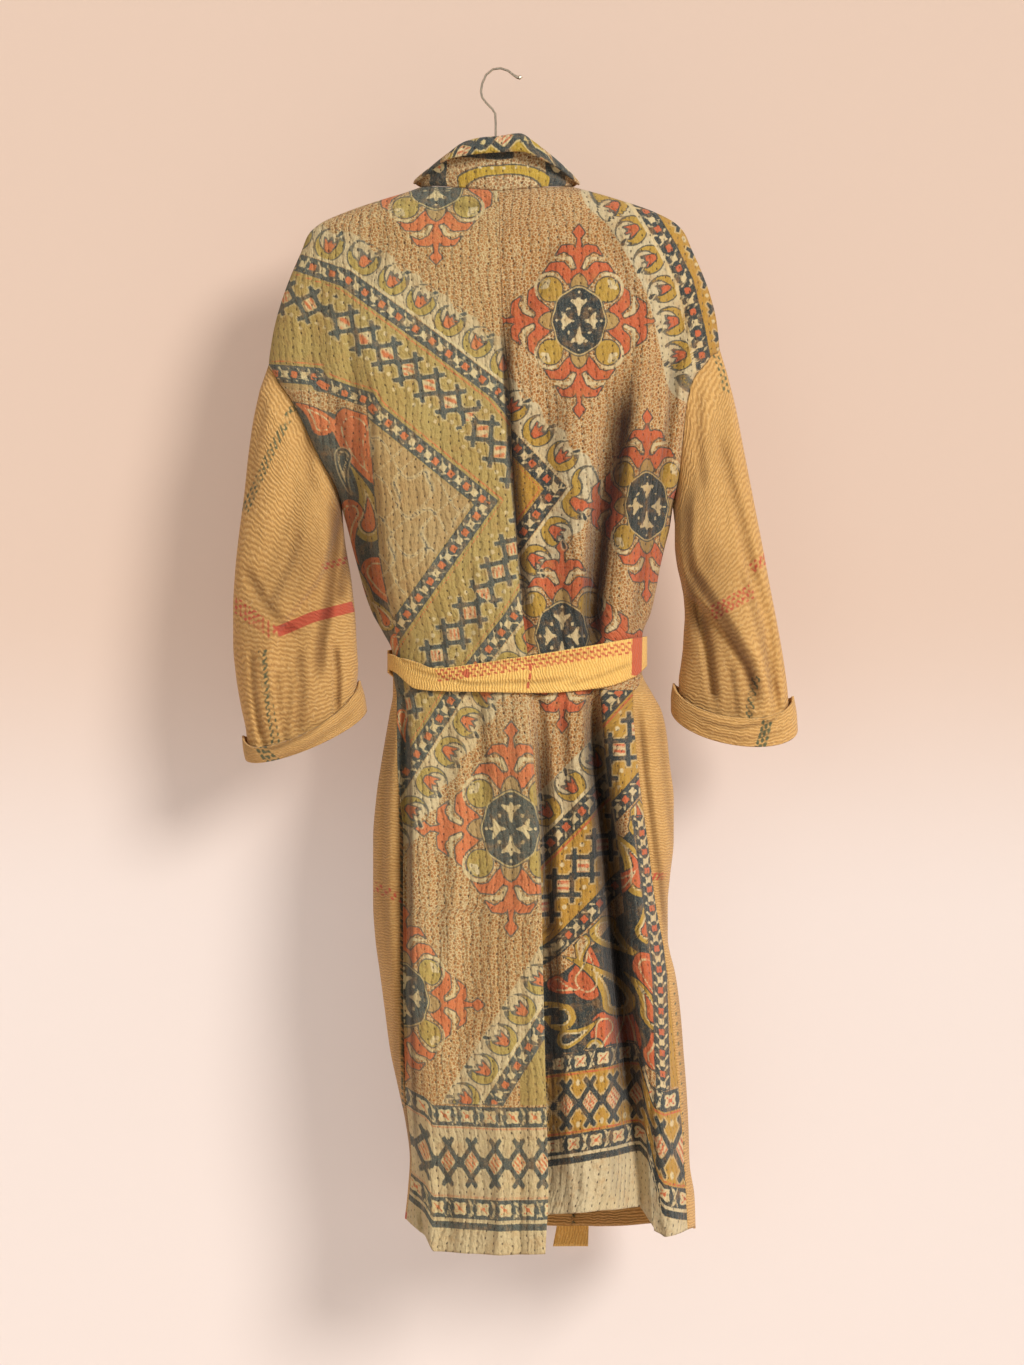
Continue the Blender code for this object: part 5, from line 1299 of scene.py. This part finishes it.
def stitch_rows(n, uv, pitch_u, pitch_v, long, thin):
    """Mask of short running stitches, in metres of flat cloth, and the way across their rows."""
    v, u = n.separate(uv)[:2]
    wavy = n.plus(v, n.times(n.noise(uv, 17.0, 2.0), 0.020))
    row = n.math("FLOOR", n.math("DIVIDE", wavy, pitch_v))
    # A different start for each row
    shift = n.math("FRACT", n.times(n.math("SINE", n.times(row, 12.9898)), 43.7))

    def off_middle(value):
        return n.math("ABSOLUTE", n.math("SUBTRACT", n.math("FRACT", value), 0.5))

    along = off_middle(n.plus(n.math("DIVIDE", u, pitch_u), shift))
    across = off_middle(n.math("DIVIDE", wavy, pitch_v))
    mask = n.ramp(along, long * 0.8, long, 1.0, 0.0)
    return n.times(mask, n.ramp(across, thin * 0.6, thin, 1.0, 0.0)), across


PALETTES = {
    "print_left": dict(
        ground=(0.73, 0.56, 0.34), rust=(0.60, 0.35, 0.17), cream=(0.84, 0.77, 0.58),
        mustard=(0.71, 0.62, 0.34), pale=(0.71, 0.60, 0.40), dark=(0.35, 0.37, 0.34),
        orange=(0.82, 0.48, 0.30), zone=(0.70, 0.61, 0.36), field=(0.81, 0.74, 0.57)),
    "print_right": dict(
        ground=(0.72, 0.52, 0.28), rust=(0.57, 0.31, 0.13), cream=(0.84, 0.76, 0.58),
        mustard=(0.72, 0.58, 0.25), pale=(0.70, 0.57, 0.34), dark=(0.22, 0.25, 0.25),
        orange=(0.78, 0.39, 0.24), zone=(0.72, 0.55, 0.22), field=(0.81, 0.75, 0.60)),
    "collar_cloth": dict(
        ground=(0.72, 0.56, 0.36), rust=(0.56, 0.33, 0.20), cream=(0.88, 0.82, 0.64),
        mustard=(0.76, 0.63, 0.24), pale=(0.70, 0.60, 0.38), dark=(0.25, 0.28, 0.28),
        orange=(0.78, 0.42, 0.26), zone=(0.70, 0.58, 0.20), field=(0.80, 0.74, 0.54)),
}
# Layers in the order that they are laid: layer, colour, amount, whether a dark line runs round it
LAID = [
    ("mustard_zone", "zone", 1.0, False), ("pale_zone", "pale", 1.0, False),
    ("cream_zone", "field", 0.9, False), ("dark_zone", "dark", 1.0, False),
    ("mustard", "mustard", 1.0, True), ("orange", "orange", 1.0, True),
    ("dark", "dark", 1.0, False), ("cream", "cream", 1.0, False), ("rust", "orange", 1.0, False),
]
# The shader's own values for the printed cloth and for the plain cloth
PRINTED = {
    "Roughness": 0.92, "Specular IOR Level": 0.18, "Sheen Weight": 0.12, "Sheen Roughness": 0.6}
PLAIN = {
    "Roughness": 0.88, "Specular IOR Level": 0.2, "Sheen Weight": 0.15, "Sheen Roughness": 0.55}


def print_material(name):
    """Block-printed quilt: scattered ground, drawn layers, wear, threads, running stitches and
    painted shade in the creases.
    """
    colours = {k: srgb(*v) for k, v in PALETTES[name].items()}
    n = Nodes(name)
    uv = n.uv()
    soft = n.new("ShaderNodeVectorMath", operation="SCALE")
    n.fill(soft, {0: n.noise(uv, 120.0, 2.0, 0.5, 1), "Scale": 0.0035})
    warp = n.new("ShaderNodeVectorMath", operation="ADD")
    warped = n.fill(warp, (uv, soft.outputs[0])).outputs[0]
    curls = n.voronoi(warped, 270.0, "DISTANCE_TO_EDGE")
    spots = n.voronoi(warped, 270.0)
    fine_noise = n.noise(uv, 420.0, 3.0, 0.6)
    speck = n.noise(uv, 640.0, 2.0, 0.7)
    colour = n.mix(n.ramp(curls, 0.02, 0.20, 0.9, 0.0), colours["ground"], colours["cream"])
    colour = n.mix(n.ramp(spots, 0.14, 0.42, 0.72, 0.0), colour, colours["rust"])
    colour = n.mix(n.ramp(speck, 0.48, 0.62, 0.0, 0.6), colour, colours["rust"])
    colour = n.mix(n.ramp(speck, 0.30, 0.42, 0.5, 0.0), colour, colours["cream"])
    rough_edge = n.times(n.math("SUBTRACT", fine_noise, 0.5), 1.6)
    for layer, tint, amount, lined in LAID:
        if layer == "dark":
            halo = n.ramp(n.attribute("dark"), 0.6, 2.0, 0.55, 0.0)
            colour = n.mix(halo, colour, colours["cream"])
        edge = n.plus(n.attribute(layer), rough_edge)
        colour = n.mix(n.ramp(edge, -0.55, 0.55, amount, 0.0), colour, colours[tint])
        if lined:
            near = n.math("ABSOLUTE", n.math("SUBTRACT", edge, 0.3))
            colour = n.mix(n.ramp(near, 0.35, 1.15, 0.85, 0.0), colour, colours["dark"])
    worn = n.noise(uv, 70.0, 5.0, 0.7)
    colour = n.mix(n.ramp(worn, 0.46, 0.72, 0.0, 0.40), colour, colours["ground"])
    threads = n.stretched_noise(uv, (1100.0, 500.0), 2.0, 0.6)
    colour = n.mix(n.ramp(threads, 0.50, 0.75, 0.0, 0.28), colour, colours["cream"])
    broad = n.ramp(n.noise(uv, 9.0, 3.0), 0.35, 0.65, 0.0, 0.30)
    colour = n.mix(broad, colour, srgb(0.91, 0.82, 0.66), "MULTIPLY")
    stitch, across = stitch_rows(n, uv, 0.0082, 0.0094, 0.16, 0.085)
    shown = n.ramp(n.noise(uv, 55.0, 2.0), 0.38, 0.60, 0.30, 0.80)
    colour = n.mix(n.times(stitch, shown), colour, srgb(0.22, 0.16, 0.12))
    # Painted shade darkens the print along the creases
    colour = n.mix(n.attribute("crease"), colour, srgb(0.33, 0.25, 0.18), "MULTIPLY")
    quilt = n.ramp(across, 0.0, 0.30, 0.0, 1.0)
    pull = n.stretched_noise(uv, (230.0, 110.0), 4.0, 0.65)
    pucker = n.stretched_noise(uv, (95.0, 60.0), 3.0, 0.6)
    rise = n.plus(n.plus(n.times(quilt, 0.42), n.times(pull, 1.8)), n.times(pucker, 2.4))
    rise = n.math("SUBTRACT", rise, n.times(stitch, 0.7))
    rise = n.plus(rise, n.times(n.noise(uv, 1500.0, 1.0), 0.25))
    return n.surface(colour, PRINTED, rise, 1.0, 0.0021)


def tan_material(name, base, trough_shade_and_dark_tone, light_tint, across=False):
    """Plain cloth drawn up into fine ripples by its stitches, with painted shade in the ripples'
    troughs and the creases, and red and green marks.
    """
    base, trough_shade_and_dark_tone, light_tint = srgb(*base), srgb(*trough_shade_and_dark_tone), srgb(*light_tint)
    n = Nodes(name)
    uv = n.uv()
    wobble = n.stretched_noise(uv, (95.0, 80.0), 2.0, 0.5)
    u, v = n.separate(uv)[:2]
    phase = n.plus(n.times(u if across else v, 2000.0), n.times(wobble, 13.0))
    wave = n.math("MULTIPLY_ADD", n.math("SINE", phase), 0.5, 0.5)
    cross = n.stretched_noise(uv, (260.0, 420.0), 3.0, 0.65)
    rib = n.times(wave, n.math("MULTIPLY_ADD", cross, 1.3, 0.1))
    # Painted shade: the ripples' troughs are darkened towards the shade colour
    colour = n.mix(n.ramp(rib, 0.05, 0.60, 0.50, 1.0), trough_shade_and_dark_tone, base)
    colour = n.mix(n.ramp(cross, 0.50, 0.72, 0.0, 0.4), colour, light_tint)
    # Darker tone at random, in the same colour
    colour = n.mix(n.ramp(n.noise(uv, 9.0, 3.0), 0.35, 0.7, 0.0, 0.22), colour, trough_shade_and_dark_tone)
    for layer, tint in (("red", (0.74, 0.27, 0.22)), ("green", (0.24, 0.33, 0.25))):
        mask = n.ramp(n.attribute(layer), -0.5, 0.5, 0.85, 0.0)
        colour = n.mix(mask, colour, srgb(*tint))
    # Painted shade darkens the cloth along the creases
    colour = n.mix(n.attribute("crease"), colour, srgb(0.40, 0.27, 0.16), "MULTIPLY")
    rise = n.plus(rib, n.times(n.noise(uv, 1300.0, 1.0), 0.2))
    rise = n.plus(rise, n.times(n.stretched_noise(uv, (70.0, 90.0), 3.0, 0.6), 1.6))
    return n.surface(colour, PLAIN, rise, 0.8, 0.0011)


def grained_material(name, colour, dark, stretch, rough, metallic=0.0):
    """Wood grain, brushed wire or plaster: streaks of noise in colour, roughness and bump."""
    n = Nodes(name)
    coords = n.new("ShaderNodeTexCoord").outputs["Object"]
    streaks = n.stretched_noise(coords, stretch, 4.0, 0.6)
    roughness = n.ramp(streaks, 0.3, 0.7, rough * 1.2, rough * 0.8)
    colour = n.mix(n.ramp(streaks, 0.35, 0.65), srgb(*dark), srgb(*colour))
    values = {"Roughness": roughness, "Metallic": metallic}
    return n.surface(colour, values, streaks, 0.3, 0.0003)


# Meshes
def lengths(points, axis):
    """Length along the columns (axis 0) or the rows (axis 1) of a grid of points."""
    gaps = np.linalg.norm(np.diff(points, axis=axis), axis=-1)
    zero = np.zeros_like(gaps[:1]) if axis == 0 else np.zeros_like(gaps[:, :1])
    return np.concatenate([zero, np.cumsum(gaps, axis=axis)], axis=axis)


def looped(grid, closed):
    """A grid with its first column again at the end, where it closes to a tube."""
    return np.concatenate([grid, grid[:, :1]], axis=1) if closed else grid


def object_from(name, bm, material):
    mesh = bpy.data.meshes.new(name)
    bm.to_mesh(mesh)
    bm.free()
    mesh.materials.append(material)
    made = bpy.data.objects.new(name, mesh)
    bpy.context.scene.collection.objects.link(made)
    return made


def add_cloth(name, points, material, layers, closed=False, out=None, wall=WALL, flat=None):
    """A grid of bmesh faces moved onto the cloth's form, with its flat map and its drawn layers."""
    full = looped(points, closed)
    values = {key: looped(value, closed) for key, value in layers.items()}
    rows, wide = full.shape[:2]
    u, down = lengths(full, 1), lengths(full, 0)
    v = down[:, wide // 2:wide // 2 + 1] + 0 * u
    cut = (float(np.ptp(u, axis=1).max()), float(down[-1].max()))
    if flat is not None:
        u, v = flat
        cut = (float(np.ptp(u)), float(np.ptp(v)))
    bm = bmesh.new()
    bmesh.ops.create_grid(bm, x_segments=wide - 1, y_segments=rows - 1, size=1.0)
    bm.verts.ensure_lookup_table()
    order = sorted(range(len(bm.verts)),
                   key=lambda k: (-round(bm.verts[k].co.y, 5), round(bm.verts[k].co.x, 5)))
    where = {}
    for rank, k in enumerate(order):
        i, j = divmod(rank, wide)
        bm.verts[k].co = full[i, j]
        where[k] = (i, j)
    uv = bm.loops.layers.uv.new("flat")
    made_layers = {key: bm.verts.layers.float.new(key) for key in layers}
    bm.verts.index_update()
    for vert in bm.verts:
        for key, layer in made_layers.items():
            vert[layer] = float(values[key][where[vert.index]])
    for face in bm.faces:
        face.smooth = True
        for loop in face.loops:
            spot = where[loop.vert.index]
            loop[uv].uv = (u[spot], v[spot])
    if closed:
        bmesh.ops.remove_doubles(bm, verts=bm.verts, dist=1e-7)
    bm.normal_update()
    if out is not None:
        # Faces point away from the middle line
        total = 0.0
        for face in bm.faces:
            centre = face.calc_center_median()
            total += face.normal.dot(centre - out(centre)) * face.calc_area()
        if total < 0:
            bmesh.ops.reverse_faces(bm, faces=bm.faces)
    area = sum(face.calc_area() for face in bm.faces)
    made = object_from(name, bm, material)
    thick = made.modifiers.new("wall", "SOLIDIFY")
    thick.thickness = wall
    thick.offset = -1.0
    made["area"], made["cut"] = area, cut
    return made


def from_axis(x=520.0):
    """The nearest point of an upright line at this x, in table units."""
    centre = (ZERO_X - x) * UNIT
    return lambda p: Vector((centre, 0.0, p.z))


def crease(x, y, lines):
    """Depth in mm and darkness of painted shade of the listed creases."""
    drop, tint = np.zeros(x.shape), np.zeros(x.shape)
    for line, left, right, deep, dark in lines:
        off, along = path_of(line, x, y)
        part = np.clip(np.abs(off) / np.where(off > 0, right, left), 0, 1)
        part = 0.5 + 0.5 * np.cos(math.pi * part)
        way = along / line_length(line)
        end = eased(share(way, 0, CREASE_END) * share(1 - way, 0, CREASE_END))
        drop += deep * part * end
        # The darkness is painted shade laid along the crease
        tint = np.maximum(tint, dark * part ** 0.6 * end)
    return drop, tint


def press_and_paint_shade(points, x, y, back, lines, hidden=None):
    """Sinks creases into a piece's back, and others or the same ones, shifted, into its front, and
    returns their painted shade.
    """
    side = np.where(back, 1.0, -1.0) if back.dtype == bool else np.clip(back * 2.5, -1, 1)
    drop, tint = crease(x, y, lines)
    under, hidden_painted_shade = crease(x, y, hidden) if hidden else crease(x + 9.0, y - 12.0, lines)
    under, hidden_painted_shade = HIDDEN_SHARE * under, HIDDEN_SHARE * hidden_painted_shade
    points[..., 1] += (under * np.clip(-side, 0, 1) - drop * np.clip(side, 0, 1)) * MM
    # The returned darkness is painted shade in the creases
    return np.where(side > 0, tint, hidden_painted_shade)


def finish_piece(piece, nodes):
    """Ties a piece to the frame and hides the frame's parts that it stands for."""
    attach(piece, "root")
    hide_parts(*nodes)


class CoatSettings(bpy.types.PropertyGroup):
    wall: bpy.props.FloatProperty(
        name="Cloth thickness", description="Thickness of the quilted cloth", default=WALL,
        min=0.001, max=0.004, unit="LENGTH")
    tan: bpy.props.FloatVectorProperty(
        name="Plain cloth", description="Colour of the plain cloth, as display values",
        subtype="COLOR", default=(0.82, 0.645, 0.39))
    backdrop_top: bpy.props.FloatVectorProperty(
        name="Backdrop above", description="Colour of the wall behind the coat", subtype="COLOR",
        default=(0.708, 0.625, 0.565))
    backdrop_low: bpy.props.FloatVectorProperty(
        name="Backdrop below", description="Colour of the wall near the floor", subtype="COLOR",
        default=(0.745, 0.698, 0.670))
    glow: bpy.props.FloatProperty(
        name="Backdrop glow",
        description="Share of the wall's colour that doesn't depend on the lights",
        default=0.62, min=0.0, max=1.0, subtype="FACTOR")


def looks(name, maker, *args):
    """The material of this name, made when it is first asked for."""
    return bpy.data.materials.get("look_" + name) or maker(name, *args)


def tan_look(settings):
    # The second colour is painted shade for the ripples' troughs, also used for darker tone at
    # random
    return looks("tan_cloth", tan_material, tuple(settings.tan), (0.60, 0.42, 0.21),
                 (0.93, 0.79, 0.56))


class COAT_OT_backs(bpy.types.Operator):
    """Printed back halves"""
    bl_idname = "coat.backs"
    bl_label = "Back halves"

    def execute(self, context):
        wall = context.scene.coat_settings.wall
        for half, side, drawn in ((-1, "left", left_print), (1, "right", right_print)):
            points, x, place = back_grid(half)
            layers = drawn(x, place).layers
            layers["crease"] = press_and_paint_shade(points, x, place, np.ones(x.shape, bool), CREASES_BACK)
            look = looks("print_" + side, print_material)
            made = add_cloth("cloth_back_" + side, points, look, layers, out=from_axis(), wall=wall)
            finish_piece(made, ["back_" + side])
        return {"FINISHED"}


class COAT_OT_fronts(bpy.types.Operator):
    """Plain fronts, right over left"""
    bl_idname = "coat.fronts"
    bl_label = "Fronts"

    def execute(self, context):
        settings = context.scene.coat_settings
        for half, side in ((-1, "left"), (1, "right")):
            points, x, y, back = front_grid(half)
            layers = tan_marks(x, y, MARKS["front_" + side], back)
            extra = tan_marks(x, y, MARKS["front_hem"], ~back)
            layers["green"] = np.minimum(layers["green"], extra["green"])
            layers["crease"] = press_and_paint_shade(points, x, y, back, CREASES_SIDES, CREASES_FRONT)
            made = add_cloth("cloth_front_" + side, points, tan_look(settings), layers,
                             out=from_axis(), wall=settings.wall)
            finish_piece(made, ["front_" + side])
        return {"FINISHED"}


class COAT_OT_sleeves(bpy.types.Operator):
    """Sleeves and turned-up cuffs"""
    bl_idname = "coat.sleeves"
    bl_label = "Sleeves and cuffs"

    def execute(self, context):
        settings = context.scene.coat_settings
        for half, side, middle in ((-1, "left", 297), (1, "right", 735)):
            for part, maker in (("sleeve", sleeve_grid), ("cuff", cuff_grid)):
                points, x, y, back = maker(half)
                layers = tan_marks(x, y, MARKS[part + "_" + side], back)
                layers["crease"] = press_and_paint_shade(points, x, y, back, CREASES[part + "_" + side])
                made = add_cloth(f"cloth_{part}_{side}", points, tan_look(settings), layers,
                                 closed=True, out=from_axis(middle), wall=settings.wall)
                finish_piece(made, [f"{part}_{side}"])
        return {"FINISHED"}


class COAT_OT_collar(bpy.types.Operator):
    """Roll collar in one strip"""
    bl_idname = "coat.collar"
    bl_label = "Collar"

    def execute(self, context):
        points = collar_grid()
        u = lengths(points[:, :1], 0)
        v = lengths(points, 1)
        middle = int(np.argmax(points[:, 0, 1]))
        u = (u - u[middle]) + 0 * v
        layers = collar_print_with_painted_shadow(u / UNIT, v / UNIT).layers
        made = add_cloth("cloth_collar", points, looks("collar_cloth", print_material), layers,
                         flat=(u, v))
        # The printed side of the strip faces outwards at the back neck
        if made.data.polygons[middle * (COLLAR_COLUMNS - 1) + 1].normal.y < 0:
            made.data.flip_normals()
        finish_piece(made, ["collar"])
        return {"FINISHED"}


def belt_look():
    # The second colour is painted shade for the ripples' troughs, also used for darker tone at
    # random
    return looks("belt_cloth", tan_material, (0.96, 0.78, 0.44), (0.76, 0.54, 0.24),
                 (1.0, 0.90, 0.62), True)


class COAT_OT_belt(bpy.types.Operator):
    """Belt round the waist, its knot and its two ends"""
    bl_idname = "coat.belt"
    bl_label = "Belt"

    def execute(self, context):
        points, x, y, back = belt_grid()
        layers = tan_marks(x, y, MARKS["belt"], back)
        layers["crease"] = press_and_paint_shade(points, x, y, back, CREASES_BELT)
        made = add_cloth("cloth_belt", points, belt_look(), layers, closed=True,
                         out=from_axis(BELT_X))
        finish_piece(made, ["belt"])
        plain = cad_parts["belt_knot"]
        corners = np.array([plain.matrix_world @ Vector(c) for c in plain.bound_box])
        points, turns = knot_grid(corners)
        # The knot's crease layer holds painted shade between its turns
        layers = {"crease": turns, "red": nothing(turns), "green": nothing(turns)}
        made = add_cloth("cloth_knot", points, belt_look(), layers, closed=True,
                         out=from_axis(KNOT_X), wall=KNOT_WALL)
        finish_piece(made, ["belt_knot"])
        for name, rows in (("belt_end_long", TAIL_LONG), ("belt_end_short", TAIL_SHORT)):
            points = tail_grid(rows)
            empty = nothing(points[..., 0])
            made = add_cloth("cloth_" + name, points, belt_look(), {"red": empty, "green": empty},
                             out=from_axis(TAIL_X))
            finish_piece(made, [name])
        return {"FINISHED"}


# Node: colour, dark streaks, stretch of the grain, roughness, metallic
HANGER_LOOKS = {
    "hanger_hook": ((0.86, 0.82, 0.74), (0.62, 0.58, 0.52), (900, 900, 160), 0.38, 1.0),
    "hanger_bar": ((0.66, 0.52, 0.37), (0.50, 0.37, 0.24), (9, 160, 160), 0.5),
}


class COAT_OT_hanger(bpy.types.Operator):
    """Wire hook and plain bar"""
    bl_idname = "coat.hanger"
    bl_label = "Hanger"

    def execute(self, context):
        for name, settings in HANGER_LOOKS.items():
            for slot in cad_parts[name].material_slots:
                slot.link = "OBJECT"
                slot.material = grained_material(name, *settings)
        return {"FINISHED"}


def box_mesh(name, low, high, material, front_only=False):
    """A box between two corners, or only its face towards the camera."""
    bm = bmesh.new()
    bmesh.ops.create_cube(bm, size=1.0)
    for vert in bm.verts:
        vert.co = [low[k] + (high[k] - low[k]) * (vert.co[k] + 0.5) for k in range(3)]
    bm.normal_update()
    if front_only:
        hidden = [face for face in bm.faces if face.normal.y < 0.5]
        bmesh.ops.delete(bm, geom=hidden, context="FACES")
    return object_from(name, bm, material)


def backdrop_material(settings):
    """A plain wall that pales towards the floor and can be seen through from behind."""
    n = Nodes("backdrop")
    level = n.separate(n.new("ShaderNodeTexCoord").outputs["Object"])[2]
    amount = n.ramp(level, -0.95, -0.55, 1.0, 0.0)
    colour = n.mix(amount, srgb(*settings.backdrop_top), srgb(*settings.backdrop_low))
    made = n.surface(colour, {
        "Emission Color": colour, "Emission Strength": settings.glow, "Roughness": 1.0,
        "Specular IOR Level": 0.0})
    # The wall is open from behind, so that it doesn't hide the coat's front
    both = n.fill(n.new("ShaderNodeMixShader"), (
        n.new("ShaderNodeNewGeometry").outputs["Backfacing"], n.shader.outputs[0],
        n.new("ShaderNodeBsdfTransparent").outputs[0]))
    n.link(both.outputs[0], n.tree.nodes["Material Output"].inputs["Surface"])
    return made


def add_sun(name, place, width, power):
    """A sun lamp that points at the middle of the coat."""
    light = bpy.data.lights.new(name, "SUN")
    light.angle, light.energy = width, power
    light.color = (1.0, 0.985, 0.965)
    lamp = bpy.data.objects.new(name, light)
    lamp.location = place
    lamp.rotation_mode = "QUATERNION"
    target = np.array((0.0, 0.0, -0.6)) - np.array(place)
    lamp.rotation_quaternion = Vector(target).to_track_quat("-Z", "Y")
    bpy.context.scene.collection.objects.link(lamp)


class COAT_OT_stage(bpy.types.Operator):
    """Pale backdrop, floor, soft lights and camera"""
    bl_idname = "coat.stage"
    bl_label = "Stage"

    def execute(self, context):
        scene, settings = context.scene, context.scene.coat_settings
        # The wall's face is at y -0.14, close behind the coat, and the floor far below the hem
        wall = box_mesh("backdrop", (-6, -0.16, -1.9), (6, -0.14, 4),
                        backdrop_material(settings), front_only=True)
        floor = box_mesh("floor", (-6, -0.14, -1.92), (6, 9, -1.9), grained_material(
            "floor", (0.95, 0.89, 0.85), (0.92, 0.86, 0.82), (3, 3, 3), 0.85))
        world = scene.world or bpy.data.worlds.new("World")
        scene.world = world
        world.use_nodes = True
        back = world.node_tree.nodes["Background"]
        back.inputs[0].default_value = srgb(1.0, 0.985, 0.96)
        back.inputs[1].default_value = 0.34
        add_sun("key", (-3.5, 4.4, 1.9), 0.34, 3.0)
        add_sun("fill", (3.0, 5.0, 0.6), 0.5, 0.15)
        add_sun("far side", (1.5, -5.0, 2.0), 0.8, 1.3)
        data = bpy.data.cameras.new("camera")
        camera = bpy.data.objects.new("camera", data)
        scene.collection.objects.link(camera)
        scene.camera = camera
        # The picture's height fills the sensor at the back of the coat
        distance, sensor = 6.5, 36.0
        camera.location = (
            (ZERO_X - PICTURE[0] / 2) * UNIT, distance + 0.05, (ZERO_Y - PICTURE[1] / 2) * UNIT)
        camera.rotation_euler = (math.pi / 2, 0, math.pi)
        data.sensor_width = sensor
        data.lens = sensor * distance / (PICTURE[1] * UNIT)
        data.clip_end = 50
        scene.view_settings.view_transform = "Standard"
        return {"FINISHED"}


class COAT_PT_panel(bpy.types.Panel):
    """Buttons for each group of the coat"""
    bl_idname = "COAT_PT_panel"
    bl_label = "Coat"
    bl_space_type = "VIEW_3D"
    bl_region_type = "UI"
    bl_category = "Coat"

    def draw(self, context):
        for name in ("wall", "tan", "backdrop_top", "backdrop_low", "glow"):
            self.layout.prop(context.scene.coat_settings, name)
        for operator in OPERATORS:
            self.layout.operator(operator.bl_idname)


OPERATORS = (COAT_OT_backs, COAT_OT_fronts, COAT_OT_sleeves, COAT_OT_collar, COAT_OT_belt,
             COAT_OT_hanger, COAT_OT_stage)


def register():
    for item in (CoatSettings, *OPERATORS, COAT_PT_panel):
        bpy.utils.register_class(item)
    bpy.types.Scene.coat_settings = bpy.props.PointerProperty(type=CoatSettings)


def unregister():
    del bpy.types.Scene.coat_settings
    for item in reversed((CoatSettings, *OPERATORS, COAT_PT_panel)):
        bpy.utils.unregister_class(item)


def main():
    register()
    for call in (bpy.ops.coat.backs, bpy.ops.coat.fronts, bpy.ops.coat.sleeves, bpy.ops.coat.collar,
                 bpy.ops.coat.belt, bpy.ops.coat.hanger, bpy.ops.coat.stage):
        call()


if __name__ == "__main__":
    main()
